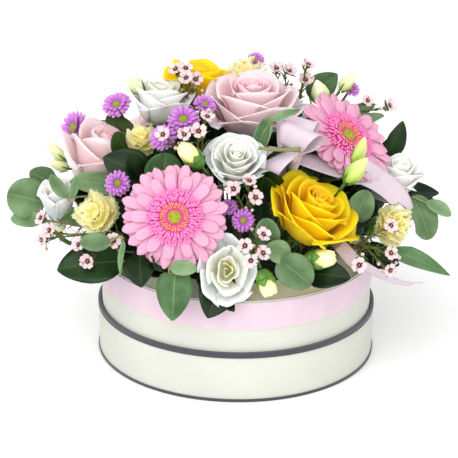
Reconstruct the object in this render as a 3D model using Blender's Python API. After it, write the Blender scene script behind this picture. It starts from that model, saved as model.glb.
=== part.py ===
"""A flower hat box: a round card box stood in its own upturned lid, with a ribbon band, a lined
foam block and a low dome of roses, gerberas, carnations, daisies, waxflower and foliage.

Lengths are in millimetres until a mesh is made, then in metres. The origin is the middle of the
lid's underside on the table, +Z is up, and -Y is the front. A direction is an (azimuth, rise) pair
in degrees: azimuth 0 faces the front and 90 faces +X, and rise is above the horizon.
"""

import math
import random

import bmesh
import bpy
from mathutils import Matrix, Vector

MM = 0.001
ROUND = 30  # facets round the box
FLAT_ENOUGH = 3.0  # degrees by which faces may differ and still be merged where parts are joined

# The box and its lid
CARD = 2.0
GAP = 0.3
LID_RADIUS = 126.4
LID_HEIGHT = 46.8
BOX_RADIUS = 123.4
BOX_HEIGHT = 94.8
TRIM = 0.6
RIM_TRIM_HEIGHT = 4.8
BASE_TRIM_HEIGHT = 2.6
RIBBON_WIDTH = 25.0
RIBBON_THICK = 0.6
RIBBON_BELOW_RIM = 1.6

# What fills the box
LINER_THICK = 1.2
LINER_FLANGE_DROP = 3.2
FOAM_RADIUS = 92.0
FOAM_TOP = 97.0
FOAM_CHAMFER = 9.0
FOAM_SIDES = 16
STEM_DEPTH = 20.0  # how far a stem is pushed into the foam
STEM_HEART = Vector((0.0, 0.0, -60.0))  # the point that the stems aim at
STEM_SLACK = 0.3  # room round a stem in its hole
STEM_SPACING = 9.0  # least distance between two stems at the top of the foam

BLADE = 1.2  # thickness of a petal or a leaf along its middle
CLEARANCE = 1.1  # room that foliage keeps from a bloom

COLOURS = {
    "card": (0.86, 0.86, 0.78, 0.75, 0.0),
    "trim": (0.05, 0.05, 0.06, 0.8, 0.0),
    "ribbon": (0.86, 0.70, 0.78, 0.35, 0.0),
    "liner": (0.74, 0.72, 0.56, 0.8, 0.0),
    "foam": (0.10, 0.22, 0.08, 0.95, 0.0),
    "stem": (0.20, 0.36, 0.10, 0.6, 0.0),
    "pink": (0.90, 0.50, 0.66, 0.6, 0.0),
    "deep_pink": (0.80, 0.12, 0.38, 0.6, 0.0),
    "blush": (0.88, 0.62, 0.66, 0.6, 0.0),
    "yellow": (0.95, 0.68, 0.02, 0.5, 0.0),
    "white": (0.90, 0.91, 0.86, 0.55, 0.0),
    "cream": (0.93, 0.86, 0.48, 0.65, 0.0),
    "purple": (0.56, 0.20, 0.56, 0.65, 0.0),
    "bud_green": (0.55, 0.68, 0.25, 0.5, 0.0),
    "waxflower": (0.84, 0.70, 0.70, 0.6, 0.0),
    "foliage": (0.10, 0.22, 0.10, 0.5, 0.0),
}

# Roses and lisianthus: (name, colour, middle of the face, direction, radius, depth, kind, parts)
ROSES = [
    ("rose_yellow_front", "yellow", (68, -86, 169), (28, 46), 40, 46, "full", 2),
    ("rose_yellow_back", "yellow", (-37, 54, 243), (170, 76), 29, 40, "small", 1),
    ("rose_pink_top", "blush", (13, 0, 243), (8, 66), 42, 52, "full", 2),
    ("rose_pink_left", "blush", (-138, -8, 192), (-70, 42), 32, 46, "small", 1),
    ("rose_white_middle", "white", (-2, -72, 210), (0, 50), 25, 34, "small", 1),
    ("lisianthus_front", "white", (-10, -132, 125), (-9, 18), 27, 30, "small", 2),
    ("lisianthus_top_left", "white", (-70, 6, 241), (20, 66), 27, 38, "small", 1),
    ("lisianthus_left", "white", (-165, -46, 150), (-62, 10), 17, 38, "bud", 1),
    ("rose_white_right", "white", (157, 0, 170), (72, 32), 21, 34, "bud", 1),
    ("rose_white_back", "white", (66, 106, 186), (150, 32), 26, 38, "bud", 1),
    ("rose_pink_back", "blush", (-82, 102, 184), (-142, 32), 31, 42, "small", 1),
]
# Each layer of petals: how many, radius and height of the foot and of the rim, half width in
# degrees, how far the rim flares, rows and columns of points
LAYERS = {
    "full": [(4, 0.26, 0.42, 0.44, 1.00, 52, 0.02, 3, 3), (5, 0.30, 0.20, 0.68, 0.92, 42, 0.06, 4, 3),
             (5, 0.26, 0.05, 0.86, 0.76, 41, 0.14, 4, 3)],
    "small": [(4, 0.26, 0.34, 0.54, 0.98, 52, 0.04, 3, 3), (5, 0.28, 0.06, 0.86, 0.80, 42, 0.12, 3, 3)],
    "bud": [(4, 0.28, 0.14, 0.76, 0.92, 54, 0.12, 3, 4)],
}

# Gerberas: (name, middle of the face, direction, radius)
GERBERAS = [
    ("gerbera_front", (-53, -112, 167), (-3, 22), 47),
    ("gerbera_right", (98, -6, 206), (53, 48), 49),
]

# Carnations: (name, top of the head, direction, radius)
CARNATIONS = [
    ("carnation_left", (-126, -82, 160), (-25, 34), 20),
    ("carnation_right", (146, -54, 140), (50, 22), 20),
    ("carnation_small", (-86, -30, 214), (-20, 55), 13),
    ("carnation_top", (7, 72, 250), (176, 66), 21),
]

# Carnation bud stems: name, then (base, tip, radius) of each bud on the forked stem
CARNATION_BUDS = {
    "carnation_bud_middle": [((-31, -77, 200), (-48, -87, 222), 8.5)],
    "carnation_buds_front": [((21, -124, 125), (30, -135, 105), 8.5),
                             ((57, -108, 126), (84, -117, 134), 8.5)],
}

# Lisianthus bud stems: name, then (base, tip, radius) of each bud on the forked stem
LISIANTHUS_BUDS = {
    "lisianthus_buds_right": [((101, -64, 200), (109, -73, 228), 5.5),
                              ((104, -65, 187), (116, -75, 209), 7.0)],
    "lisianthus_buds_back": [((88, 34, 227), (104, 31, 258), 6.5), ((76, 36, 222), (70, 32, 246), 8.0)],
    "lisianthus_buds_left": [((-156, 14, 172), (-177, 16, 190), 5.0),
                             ((-154, 8, 166), (-174, 4, 174), 4.5)],
}

# Daisy sprays: name, then (middle, direction, radius) of each head
DAISIES = {
    "daisies_left": [((-109, 10, 226), (-25, 52), 14), ((-142, 30, 200), (-80, 32), 16)],
    "daisies_middle": [((-48, -42, 230), (0, 56), 15), ((-65, -58, 219), (-22, 40), 13),
                       ((-30, -28, 240), (40, 60), 11)],
    "daisies_edge": [((-104, -72, 182), (12, 22), 12)],
    "daisies_front": [((5, -100, 160), (12, 20), 11), ((-8, -94, 169), (-20, 62), 9)],
    "daisies_back": [((22, 112, 212), (176, 44), 12), ((-10, 114, 200), (-170, 36), 13)],
    "daisies_right": [((113, 27, 241), (40, 50), 9)],
}

# Waxflower sprays: name, fork of the stem, then (middle, direction) of each floret
WAXFLOWERS = {
    "waxflower_middle": ((-34, -50, 186), [
        ((-64, -78, 229), (-20, 34)), ((-46, -78, 229), (-5, 42)), ((-34, -77, 232), (8, 40)),
        ((-27, -62, 240), (30, 62))]),
    "waxflower_back": ((-41, 16, 204), [
        ((-48, 21, 258), (10, 50)), ((-57, 24, 256), (-25, 50)), ((-39, 17, 249), (20, 40)),
        ((-47, 11, 252), (-20, 50))]),
    "waxflower_front": ((14, -88, 138), [
        ((-3, -99, 188), (-20, 34)), ((10, -98, 195), (10, 60)), ((15, -102, 182), (22, 24)),
        ((22, -122, 156), (40, 40)), ((7, -138, 152), (-5, 30)), ((12, -143, 141), (0, 10)),
        ((22, -134, 144), (25, 30))]),
    "waxflower_left": ((-106, -76, 138), [
        ((-170, -76, 130), (-40, 8)), ((-172, -60, 144), (-50, 30)), ((-138, -100, 138), (-30, 24)),
        ((-156, -82, 141), (-36, 40)), ((-106, -106, 142), (10, 28))]),
    "waxflower_right": ((110, -70, 130), [
        ((133, -82, 150), (20, 30)), ((106, -102, 121), (-5, 20)), ((133, -96, 130), (20, 30)),
        ((133, -96, 114), (24, 14))]),
    "waxflower_top": ((50, 46, 200), [
        ((34, 50, 250), (0, 60)), ((45, 44, 250), (40, 50)), ((60, 36, 244), (20, 50)),
        ((62, 30, 260), (60, 70))]),
}
FLORET_RADIUS = 7.0

# Foliage stems: name, fork above the foam, then leaves as (base, tip, width, direction of its
# upper face, outline, cup). A cup above 0 hollows the upper face along the leaf.
ROUND_LEAF, OVAL, POINTED, NARROW = "round", "oval", "pointed", "narrow"
FOLIAGE = {
    "foliage_front_left": ((-88, -64, 114), [
        ((-98, -94, 118), (-156, -94, 110), 39, (-20, 40), POINTED, 3),
        ((-116, -62, 114), (-158, -62, 98), 24, (-40, 30), POINTED, 2),
        ((-104, -114, 130), (-136, -120, 130), 20, (-15, 30), OVAL, 1),
        ((-94, -112, 148), (-99, -122, 116), 8, (-50, 10), NARROW, 1),
        ((-132, -50, 138), (-158, -51, 144), 16, (-30, 30), OVAL, 2),
        ((-70, -50, 140), (-112, -58, 150), 34, (-14, 50), POINTED, 2),
    ]),
    "foliage_left": ((-112, -12, 128), [
        ((-172, -26, 146), (-205, -32, 156), 37, (-10, 22), ROUND_LEAF, 2),
        ((-162, -10, 164), (-188, -8, 180), 24, (-15, 30), OVAL, 2),
        ((-174, -36, 132), (-202, -36, 134), 17, (-20, 40), OVAL, 2),
        ((-158, 22, 138), (-196, 36, 130), 30, (-80, 40), POINTED, 2),
        ((-142, 4, 124), (-176, -4, 108), 26, (-70, 20), OVAL, 2),
        ((-104, -40, 166), (-148, -48, 174), 28, (-20, 50), POINTED, 2),
    ]),
    "foliage_front": ((-44, -86, 110), [
        ((-70, -118, 120), (-86, -140, 94), 26, (-12, 18), POINTED, 3),
        ((-46, -128, 118), (-60, -148, 72), 27, (-4, 14), POINTED, -3),
        ((-42, -130, 120), (-34, -144, 124), 18, (0, 20), OVAL, 2),
        ((-19, -115, 108), (-26, -143, 76), 30, (6, 22), POINTED, 3),
        ((-26, -112, 105), (-1, -135, 90), 20, (0, 55), POINTED, 2),
    ]),
    "foliage_front_right": ((50, -80, 110), [
        ((27, -103, 136), (25, -111, 167), 22, (4, 12), ROUND_LEAF, 1),
        ((38, -118, 126), (62, -132, 106), 33, (8, 24), ROUND_LEAF, 2),
        ((42, -100, 130), (26, -107, 137), 16, (0, 40), OVAL, 2),
        ((62, -106, 108), (98, -122, 110), 27, (12, 36), POINTED, 3),
        ((102, -50, 140), (114, -54, 172), 25, (14, 20), ROUND_LEAF, 2),
        ((23, -84, 150), (16, -92, 184), 15, (0, 20), POINTED, 1),
        ((15, -45, 200), (28, -42, 236), 15, (-10, 20), OVAL, 1),
    ]),
    "foliage_right": ((116, -18, 122), [
        ((156, -24, 156), (186, -38, 120), 26, (30, 26), ROUND_LEAF, 3),
        ((168, -30, 152), (191, -30, 140), 14, (40, 30), OVAL, 2),
        ((124, -66, 112), (190, -78, 88), 20, (20, 42), NARROW, 2),
        ((150, 34, 128), (190, 50, 116), 30, (70, 40), POINTED, 2),
        ((110, -36, 136), (123, -50, 160), 22, (10, 30), POINTED, 2),
        ((106, -62, 116), (142, -82, 112), 28, (20, 40), POINTED, 2),
        ((140, 10, 140), (184, 10, 146), 30, (70, 50), POINTED, 2),
    ]),
    "foliage_middle": ((-90, -44, 166), [
        ((-78, -50, 182), (-118, -46, 197), 34, (-10, 28), POINTED, 3),
        ((-66, -62, 176), (-62, -70, 210), 34, (4, 26), ROUND_LEAF, 2),
        ((-86, -60, 182), (-94, -62, 206), 15, (0, 30), OVAL, 1),
        ((-92, -10, 190), (-118, 20, 214), 30, (-60, 40), POINTED, 2),
        ((-96, -26, 190), (-108, -34, 216), 22, (-10, 30), OVAL, 2),
    ]),
    "foliage_back": ((0, 84, 114), [
        ((30, 116, 166), (60, 152, 150), 36, (165, 50), POINTED, 3),
        ((-24, 116, 156), (-46, 154, 138), 36, (-165, 48), POINTED, 3),
        ((4, 120, 180), (8, 154, 176), 32, (180, 50), ROUND_LEAF, 2),
        ((20, 110, 118), (36, 146, 100), 38, (170, 50), POINTED, 3),
        ((-20, 110, 112), (-30, 148, 96), 38, (-170, 50), POINTED, -3),
        ((-4, 104, 130), (0, 138, 132), 34, (180, 60), ROUND_LEAF, 2),
    ]),
    "foliage_back_right": ((66, 62, 118), [
        ((70, 100, 136), (112, 126, 120), 38, (140, 50), POINTED, 3),
        ((98, 76, 158), (138, 92, 158), 32, (120, 50), ROUND_LEAF, 2),
        ((98, 70, 190), (128, 94, 204), 30, (130, 50), POINTED, 2),
        ((104, 50, 126), (150, 66, 112), 38, (110, 50), POINTED, 3),
        ((58, 94, 116), (72, 132, 104), 36, (160, 50), OVAL, 2),
    ]),
    "foliage_back_left": ((-68, 60, 120), [
        ((-66, 100, 130), (-104, 126, 114), 38, (-140, 50), POINTED, 3),
        ((-108, 66, 150), (-148, 78, 148), 34, (-115, 50), ROUND_LEAF, 2),
        ((-104, 40, 176), (-134, 54, 196), 28, (-110, 40), POINTED, 2),
        ((-24, 90, 186), (-34, 118, 208), 26, (-170, 30), POINTED, 2),
        ((-110, 50, 120), (-150, 48, 104), 36, (-100, 50), POINTED, 3),
    ]),
    "foliage_top": ((88, 44, 176), [
        ((66, 56, 224), (88, 62, 250), 26, (40, 36), POINTED, 2),
        ((104, 54, 206), (134, 66, 224), 28, (110, 50), ROUND_LEAF, 2),
        ((134, 32, 172), (150, 32, 208), 24, (40, 30), POINTED, 2),
    ]),
}

# The ribbon bow. Each loop: where it leaves the knot, its fold, the way across the ribbon, half the
# opening. Each tail: points of its middle line, and the direction across the ribbon at each.
BOW_KNOT = Vector((45, -51, 202))
BOW_WIDTH = 38.0
BOW_ACROSS = Vector((27, -20, -3))
BOW_LOOPS = [
    ((48, -57, 206), (54, -45, 228), (34, -20, -5), 7),
    ((46, -49, 205), (53, -29, 233), (32, -12, -4), 6),
    ((38, -53, 207), (18, -63, 186), (24, -14, -16), 8),
]
# Each streamer: points of its middle line, the direction across the ribbon and the part of its
# full width at each. The first leaves the knot and the second stands on a pick of its own.
BOW_TAIL = [
    ((48, -42, 199), (0, 30), 0.4), ((75, -37, 185), (0, 8), 0.7), ((96, -36, 178), (5, 6), 0.6),
    ((120, -37, 169), (8, 8), 0.9), ((138, -38, 165), (15, 10), 0.9), ((151, -38, 159), (20, 12), 0.9),
]
RIBBON_TAIL = [
    ((84, -68, 118), (30, 12), 0.4), ((95, -80, 112), (25, 12), 0.7), ((106, -88, 107), (20, 12), 0.9),
    ((124, -84, 102), (10, 14), 0.9), ((146, -73, 94), (5, 18), 0.9), ((166, -64, 88), (5, 18), 0.9),
]
DAISY_PETALS = 9


# Shapes. A solid is a list of points in millimetres and a list of faces.


def towards(azimuth, rise):
    a = math.radians(azimuth)
    e = math.radians(rise)
    return Vector((math.sin(a) * math.cos(e), -math.cos(a) * math.cos(e), math.sin(e)))


def placed(middle, axis, turn=0.0):
    """The matrix that stands local +Z along axis at middle, with local +X level."""
    side = Vector((0, 0, 1)).cross(axis)
    side = side.normalized() if side.length > 1e-3 else Vector((1, 0, 0))
    up = axis.cross(side)
    basis = Matrix((side, up, axis)).transposed().to_4x4()
    return Matrix.Translation(middle) @ basis @ Matrix.Rotation(math.radians(turn), 4, "Z")


def welded(points, faces):
    """The solid with coincident points made one, and the faces that this closes dropped."""
    index = {}
    kept = []
    to = []
    for p in points:
        key = (round(p[0], 4), round(p[1], 4), round(p[2], 4))
        if key not in index:
            index[key] = len(kept)
            kept.append(Vector(p))
        to.append(index[key])
    new = []
    for face in faces:
        f = [to[i] for i in face]
        f = [v for i, v in enumerate(f) if v != f[i - 1]]
        if len(f) > 2:
            new.append(tuple(f))
    return kept, new


def blade(point, rows, cols, thick=BLADE):
    """A closed thin blade on the surface point(u, v), u from -1 to 1 and v from 0 to 1. It is thick
    in the middle, by one value or one for each row, and sharp at its outline. Both faces are split
    alike."""
    thick = thick if isinstance(thick, list) else [thick] * rows
    mid = [[Vector(point(2 * j / (cols - 1) - 1, i / (rows - 1))) for j in range(cols)]
           for i in range(rows)]
    points = []
    over = {}
    under = {}
    for i in range(rows):
        for j in range(cols):
            across = mid[i][min(j + 1, cols - 1)] - mid[i][max(j - 1, 0)]
            along = mid[min(i + 1, rows - 1)][j] - mid[max(i - 1, 0)][j]
            normal = across.cross(along)
            if 0 < i < rows - 1 and 0 < j < cols - 1 and normal.length > 0:
                normal = normal.normalized() * thick[i] / 2
                over[i, j] = len(points)
                under[i, j] = len(points) + 1
                points += [mid[i][j] + normal, mid[i][j] - normal]
            else:
                over[i, j] = under[i, j] = len(points)
                points.append(mid[i][j])
    faces = []
    for i in range(rows - 1):
        for j in range(cols - 1):
            a, b, c, d = (i, j), (i, j + 1), (i + 1, j + 1), (i + 1, j)
            low = i < (rows - 1) / 2
            left = j < (cols - 1) / 2
            halves = ((a, b, c), (a, c, d)) if low == left else ((a, b, d), (b, c, d))
            for x, y, z in halves:
                faces.append((over[x], over[y], over[z]))
                faces.append((under[x], under[z], under[y]))
    return welded(points, faces)


def lofted(rings):
    """A closed solid on rings of points, listed upward. Each ring turns anticlockwise seen from
    above and starts at the same angle, and rings of unlike counts are stitched by angle."""
    points = []
    faces = []
    for low, high in zip(rings, rings[1:]):
        first = len(points)
        points += low
        second = len(points)
        n, m = len(low), len(high)
        i = j = 0
        while i < n or j < m:
            behind = (i + 1) * m - (j + 1) * n
            if j == m or (i < n and (behind < 0 or (behind == 0 and n >= m))):
                if n > 1:
                    faces.append((first + i % n, first + (i + 1) % n, second + j % m))
                i += 1
            else:
                if m > 1:
                    faces.append((first + i % n, second + (j + 1) % m, second + j % m))
                j += 1
    last = len(points)
    points += rings[-1]
    if len(rings[0]) > 2:
        faces.append(tuple(reversed(range(len(rings[0])))))
    if len(rings[-1]) > 2:
        faces.append(tuple(range(last, len(points))))
    return points, faces


def circle(matrix, sides, radius, height):
    if radius == 0:
        return [matrix @ Vector((0, 0, height))]
    turn = 2 * math.pi / sides
    return [matrix @ Vector((radius * math.cos(turn * k), radius * math.sin(turn * k), height))
            for k in range(sides)]


def scalloped(matrix, lobes, shape, radius, height, wave=0.0):
    """A ring with lobes. The shape lists (part of a lobe, part of the radius, rise) in each."""
    points = []
    for k in range(lobes):
        for shift, reach, rise in shape:
            a = 2 * math.pi * (k + shift) / lobes
            ripple = wave * math.sin(5 * a + 2 * k)
            out = radius * reach
            points.append(matrix @ Vector((out * math.cos(a), out * math.sin(a), height + rise + ripple)))
    return points


def stalk(path, radius, sides, side, pointed=False):
    """Rings of a bar from the far end of path back to its start, turned as side is at the start."""
    rings = []
    for i, p in enumerate(path):
        up = (path[max(i - 1, 0)] - path[min(i + 1, len(path) - 1)]).normalized()
        side = (side - up * side.dot(up)).normalized()
        over = up.cross(side)
        turn = 2 * math.pi / sides
        rings.append([p + (side * math.cos(turn * k) + over * math.sin(turn * k)) * radius
                      for k in range(sides)])
    if pointed:
        rings[-1] = [path[-1]]
    return rings[::-1]


def bar(path, radius, sides=5):
    path = [Vector(p) for p in path]
    return lofted(stalk(path, radius, sides, (path[0] - path[1]).orthogonal()))


def turned(profile, sides, matrix=Matrix()):
    """A solid of revolution. The (radius, height) profile runs up its outer side, and closes on
    the axis or, where it ends off the axis, on its own first point."""
    if profile[0][0] == 0 or profile[-1][0] == 0:
        return lofted([circle(matrix, sides, r, z) for r, z in profile])
    points = []
    n = len(profile)
    for k in range(sides):
        a = 2 * math.pi * k / sides
        points += [matrix @ Vector((r * math.cos(a), r * math.sin(a), z)) for r, z in profile]
    faces = []
    for k in range(sides):
        m = (k + 1) % sides
        for i in range(n):
            j = (i + 1) % n
            faces.append((k * n + i, m * n + i, m * n + j, k * n + j))
    return points, faces


# Objects


def material(colour):
    found = bpy.data.materials.get(colour)
    if found:
        return found
    red, green, blue, roughness, metallic = COLOURS[colour]
    made = bpy.data.materials.new(colour)
    made.use_nodes = True
    shader = made.node_tree.nodes["Principled BSDF"]
    shader.inputs["Base Color"].default_value = (red, green, blue, 1)
    shader.inputs["Roughness"].default_value = roughness
    shader.inputs["Metallic"].default_value = metallic
    made.diffuse_color = (red, green, blue, 1)
    return made


def node(name, solid, colour):
    points, faces = solid
    mesh = bpy.data.meshes.new(name)
    mesh.from_pydata([p * MM for p in points], [], faces)
    mesh.update()
    mesh.materials.append(material(colour))
    made = bpy.data.objects.new(name, mesh)
    bpy.context.scene.collection.objects.link(made)
    return made


def reshape(target, operation, solids):
    """One Boolean on a collection of the solids, applied, and the collection removed."""
    group = bpy.data.collections.new("repeats")
    bpy.context.scene.collection.children.link(group)
    for i, solid in enumerate(solids):
        piece = node(f"repeat_{i}", solid, "stem")
        bpy.context.scene.collection.objects.unlink(piece)
        group.objects.link(piece)
    change = target.modifiers.new(operation, "BOOLEAN")
    change.operation = operation
    change.solver = "MANIFOLD"
    change.operand_type = "COLLECTION"
    change.collection = group
    graph = bpy.context.evaluated_depsgraph_get()
    result = bpy.data.meshes.new_from_object(target.evaluated_get(graph))
    target.modifiers.clear()
    target.data = result
    kept = target.data.materials[0]
    target.data.materials.clear()
    target.data.materials.append(kept)
    mesh = bmesh.new()
    mesh.from_mesh(target.data)
    bmesh.ops.dissolve_limit(mesh, angle_limit=math.radians(FLAT_ENOUGH), verts=mesh.verts[:],
                             edges=mesh.edges[:])
    bmesh.ops.triangulate(mesh, faces=mesh.faces[:])
    mesh.to_mesh(target.data)
    mesh.free()
    for piece in list(group.objects):
        bpy.data.objects.remove(piece)
    bpy.data.collections.remove(group)


# Stems. Each one made is remembered as the hole that it needs in the foam. What stands in the way
# of later stems and leaves is kept as bars (two ends and a radius) and flat discs.

holes = []
mouths = []
bars_in_the_way = []
discs_in_the_way = []
of_this_node = []


def block(start, end, radius):
    of_this_node.append((Vector(start), Vector(end), radius))


def cleared(point, room=CLEARANCE, passes=6):
    """The point moved out of all that stands in the way."""
    point = Vector(point)
    for _ in range(passes):
        for start, end, radius in bars_in_the_way:
            along = end - start
            t = max(0.0, min(1.0, (point - start).dot(along) / max(along.length_squared, 1e-6)))
            away = point - (start + along * t)
            if away.length < radius + room:
                point = start + along * t + away.normalized() * (radius + room)
        for middle, axis, radius, half in discs_in_the_way:
            high = (point - middle).dot(axis)
            flat = point - middle - axis * high
            if abs(high) < half + room and flat.length < radius + room:
                if radius - flat.length < half - abs(high):
                    point += flat.normalized() * (radius + room - flat.length)
                else:
                    point += axis * math.copysign(half + room - abs(high), high)
    return point


def fused(name, solids, colour):
    """One node whose repeats are joined into the first solid."""
    made = node(name, solids[0], colour)
    if len(solids) > 1:
        reshape(made, "UNION", solids[1:])
    bars_in_the_way.extend(of_this_node)
    of_this_node.clear()
    return made


def stem_path(start, out_of, steps=3, thick=2.5):
    """From a head at start, leaving it along out_of, down into its own place in the foam."""
    start = Vector(start)
    spread = 0.5 + 0.25 * max(0.0, min(1.0, (170 - start.z) / 45))
    mouth = Vector((spread * start.x, spread * start.y, FOAM_TOP + 3))
    reach = FOAM_RADIUS - FOAM_CHAMFER - 7
    for _ in range(60):
        for other in mouths:
            away = (mouth - other).xy
            if away.length < STEM_SPACING:
                away = away.normalized() if away.length > 0.1 else Vector((1, 0))
                mouth.xy = other.xy + away * (STEM_SPACING + 0.1)
        if mouth.xy.length > reach:
            mouth.xy = mouth.xy * (reach / mouth.xy.length)
    mouths.append(mouth)
    down = (STEM_HEART - mouth).normalized()
    bend = start + out_of * 0.4 * (start - mouth).length
    knee = mouth - down * 0.25 * (start - mouth).length
    path = [start]
    for i in range(1, steps):
        t = i / steps
        s = 1 - t
        curve = start * s**3 + bend * 3 * s * s * t + knee * 3 * s * t * t + mouth * t**3
        path.append(cleared(curve, thick))
    return path + [mouth, mouth + down * (STEM_DEPTH + 3)]


def rooted(path, radius):
    """Remembers the hole for the stem on path, and what it keeps others from."""
    mouth, end = path[-2:]
    down = (end - mouth).normalized()
    corner = (radius + STEM_SLACK) / math.cos(math.pi / 4)
    holes.append(bar([mouth - down * 8, end + down * STEM_SLACK], corner, 4))
    for start, after in zip(path, path[1:]):
        block(start, after, radius)
    return path


def stem(start, out_of, radius, sides=5, steps=3):
    return bar(rooted(stem_path(start, out_of, steps), radius), radius, sides)


# Blooms


def cup_petal(matrix, turn, spread, foot, low, rim, high, flare):
    """The surface of one petal of a cupped bloom. One edge lies inside its neighbour."""

    def point(u, v):
        swell = math.sin(v * math.pi / 2)
        lip = max(0.0, v - 0.5) / 0.5
        r = (foot + (rim - foot) * swell) * (1 + 0.06 * u) + flare * lip * lip
        z = low + (high - low) * (1 - math.cos(v * math.pi / 2))
        z -= (0.16 * high * abs(u) ** 2.4 + 0.4 * abs(flare)) * lip
        a = math.radians(turn + spread * u * (0.45 + 0.55 * swell))
        return matrix @ Vector((r * math.cos(a), r * math.sin(a), z))

    return point


def rose_solids(matrix, radius, depth, kind, seed):
    """The petals of a rose or lisianthus on its furled heart, which is the first solid."""
    draw = random.Random(seed)
    heart = ((0, -0.10), (0.42, 0.02), (0.48, 0.28), (0.36, 0.62), (0.16, 0.88), (0, 0.86))
    solids = [lofted([circle(matrix, 5, r * radius, z * depth) for r, z in heart])]
    turn = draw.uniform(0, 360)
    for count, foot, low, rim, high, spread, flare, rows, cols in LAYERS[kind]:
        turn += 180 / count
        for i in range(count):
            top = high * depth * draw.uniform(0.96, 1.03)
            petal = cup_petal(matrix, turn + 360 * i / count, spread, foot * radius, low * depth,
                              rim * radius, top, flare * radius)
            solids.append(blade(petal, rows, cols))
    return solids


def calyx(base, axis, radius, stem_radius):
    """The green cup under a bloom with its pointed sepals, and the stem that carries it."""
    matrix = placed(base, axis)
    sepal = [(-0.5, 0.32, 0.0), (0.0, 1.3, -0.2 * radius)]
    path = rooted(stem_path(base - axis * 2.2 * radius, -axis), stem_radius)
    rings = stalk(path, stem_radius, 5, matrix.to_3x3() @ Vector((1, 0, 0)))
    rings += [circle(matrix, 5, 0.55 * radius, -1.2 * radius), circle(matrix, 5, 0.5 * radius, -0.5 * radius),
              scalloped(matrix, 5, sepal, radius, -0.3 * radius), circle(matrix, 5, 0.25 * radius, 0)]
    return lofted(rings)


def make_roses():
    for seed, (name, colour, at, facing, radius, depth, kind, parts) in enumerate(ROSES):
        middle = Vector(at)
        axis = towards(*facing)
        under = middle - axis * 0.85 * depth
        solids = rose_solids(placed(under, axis), radius, depth, kind, seed)
        block(middle - axis * 0.3 * radius, middle - axis * 0.4 * depth, radius * 0.94)
        foot = under - axis * 0.10 * depth
        if parts == 2:
            fused(name, solids, colour)
            fused(name + "_stem", [calyx(foot - axis * GAP, axis, 6.5, 2.3)], "stem")
        else:
            fused(name, solids + [stem(foot + axis * 0.12 * depth, -axis, 2.3)], colour)


def make_gerberas():
    lobes = 16
    petal = [(-0.5, 0.40, 0.0), (-0.38, 0.80, 0.3), (-0.14, 1.0, 0.4), (0.14, 1.0, -0.1), (0.38, 0.80, -0.3)]
    ridge = [(-0.5, 0.37, -0.4), (0.0, 0.70, 0.3)]
    for name, at, facing, radius in GERBERAS:
        axis = towards(*facing)
        middle = Vector(at)
        matrix = placed(middle, axis)
        petals = lofted([
            circle(matrix, lobes, 0, -9.0),
            circle(matrix, lobes, 0.26 * radius, -7.6),
            scalloped(matrix, lobes, petal, 0.95 * radius, -3.8),
            scalloped(matrix, lobes, ridge, 0.95 * radius, -4.4),
            circle(matrix, lobes, 0.24 * radius, -3.6),
            scalloped(matrix, lobes, petal, radius, 0.6),
            scalloped(matrix, lobes, ridge, radius, 0.0),
            circle(matrix, lobes, 0, -1.6)])
        fused(name + "_petals", [petals], "pink")
        tips = [(0.0, 1.0, 0.0), (0.5, 0.8, 0.5)]
        florets = lofted([
            circle(matrix, 10, 0, -1.3), scalloped(matrix, 10, tips, 0.56 * radius, 1.4),
            scalloped(matrix, 10, tips, 0.44 * radius, 4.4), scalloped(matrix, 10, tips, 0.31 * radius, 4.0),
            scalloped(matrix, 10, tips, 0.19 * radius, 3.2), circle(matrix, 10, 0, 5.2)])
        fused(name + "_florets", [florets], "deep_pink")
        base = middle - axis * (9.0 + GAP)
        bowl = [(0, -8), (0.08 * radius, -7), (0.24 * radius, -0.6), (0.1 * radius, 0), (0, 0)]
        cup = turned(bowl, 8, placed(base, axis))
        fused(name + "_stem", [cup, stem(base - axis * 5, -axis, 2.8)], "stem")
        discs_in_the_way.append((middle - axis * 1.5, axis, radius, 6.5))


def carnation_rings(matrix, radius):
    """Frilled layers of petals, each leaning up more than the one below."""
    wave = 0.05 * radius
    frill = [(-0.5, 0.84, -0.08 * radius), (-0.2, 1.0, 0.07 * radius), (0.14, 0.93, -0.03 * radius)]
    return [
        circle(matrix, 5, 0.34 * radius, -0.42 * radius),
        scalloped(matrix, 7, frill, radius, 0.08 * radius, wave),
        circle(matrix, 7, 0.55 * radius, 0.12 * radius),
        scalloped(matrix, 6, frill, 0.93 * radius, 0.44 * radius, wave),
        circle(matrix, 6, 0.44 * radius, 0.34 * radius),
        scalloped(matrix, 5, frill, 0.72 * radius, 0.76 * radius, wave),
        circle(matrix, 5, 0.26 * radius, 0.56 * radius),
        scalloped(matrix, 3, frill, 0.40 * radius, 0.95 * radius, wave),
        circle(matrix, 3, 0, 0.75 * radius)]


def make_carnations():
    for name, at, facing, radius in CARNATIONS:
        axis = towards(*facing)
        low = Vector(at) - axis * 0.8 * radius
        matrix = placed(low, axis)
        base = low - axis * 0.42 * radius
        side = matrix.to_3x3() @ Vector((1, 0, 0))
        path = rooted(stem_path(base - axis * 0.9 * radius, -axis), 1.7)
        cup = [circle(matrix, 5, 0.2 * radius, -1.3 * radius), circle(matrix, 5, 0.30 * radius, -0.8 * radius)]
        fused(name, [lofted(stalk(path, 1.7, 5, side) + cup + carnation_rings(matrix, radius))], "cream")
        block(low, low + axis * 0.5 * radius, radius * 0.95)


def forked_buds(name, buds, draw, stalk_radius):
    """One node for the buds on a forked stem. The first is at the end of the main stem."""
    solids = []
    fork = None
    for base, tip, radius in buds:
        base, tip = Vector(base), Vector(tip)
        axis = (tip - base).normalized()
        if fork is None:
            path = rooted(stem_path(base - axis, -axis), stalk_radius)
            fork = path[1]
        else:
            path = [base - axis, base - axis * 8, fork]
        solids.append(draw(placed(base, axis), (tip - base).length, radius, path, stalk_radius))
        block(base, tip, radius)
    fused(name, solids, "bud_green")


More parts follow.
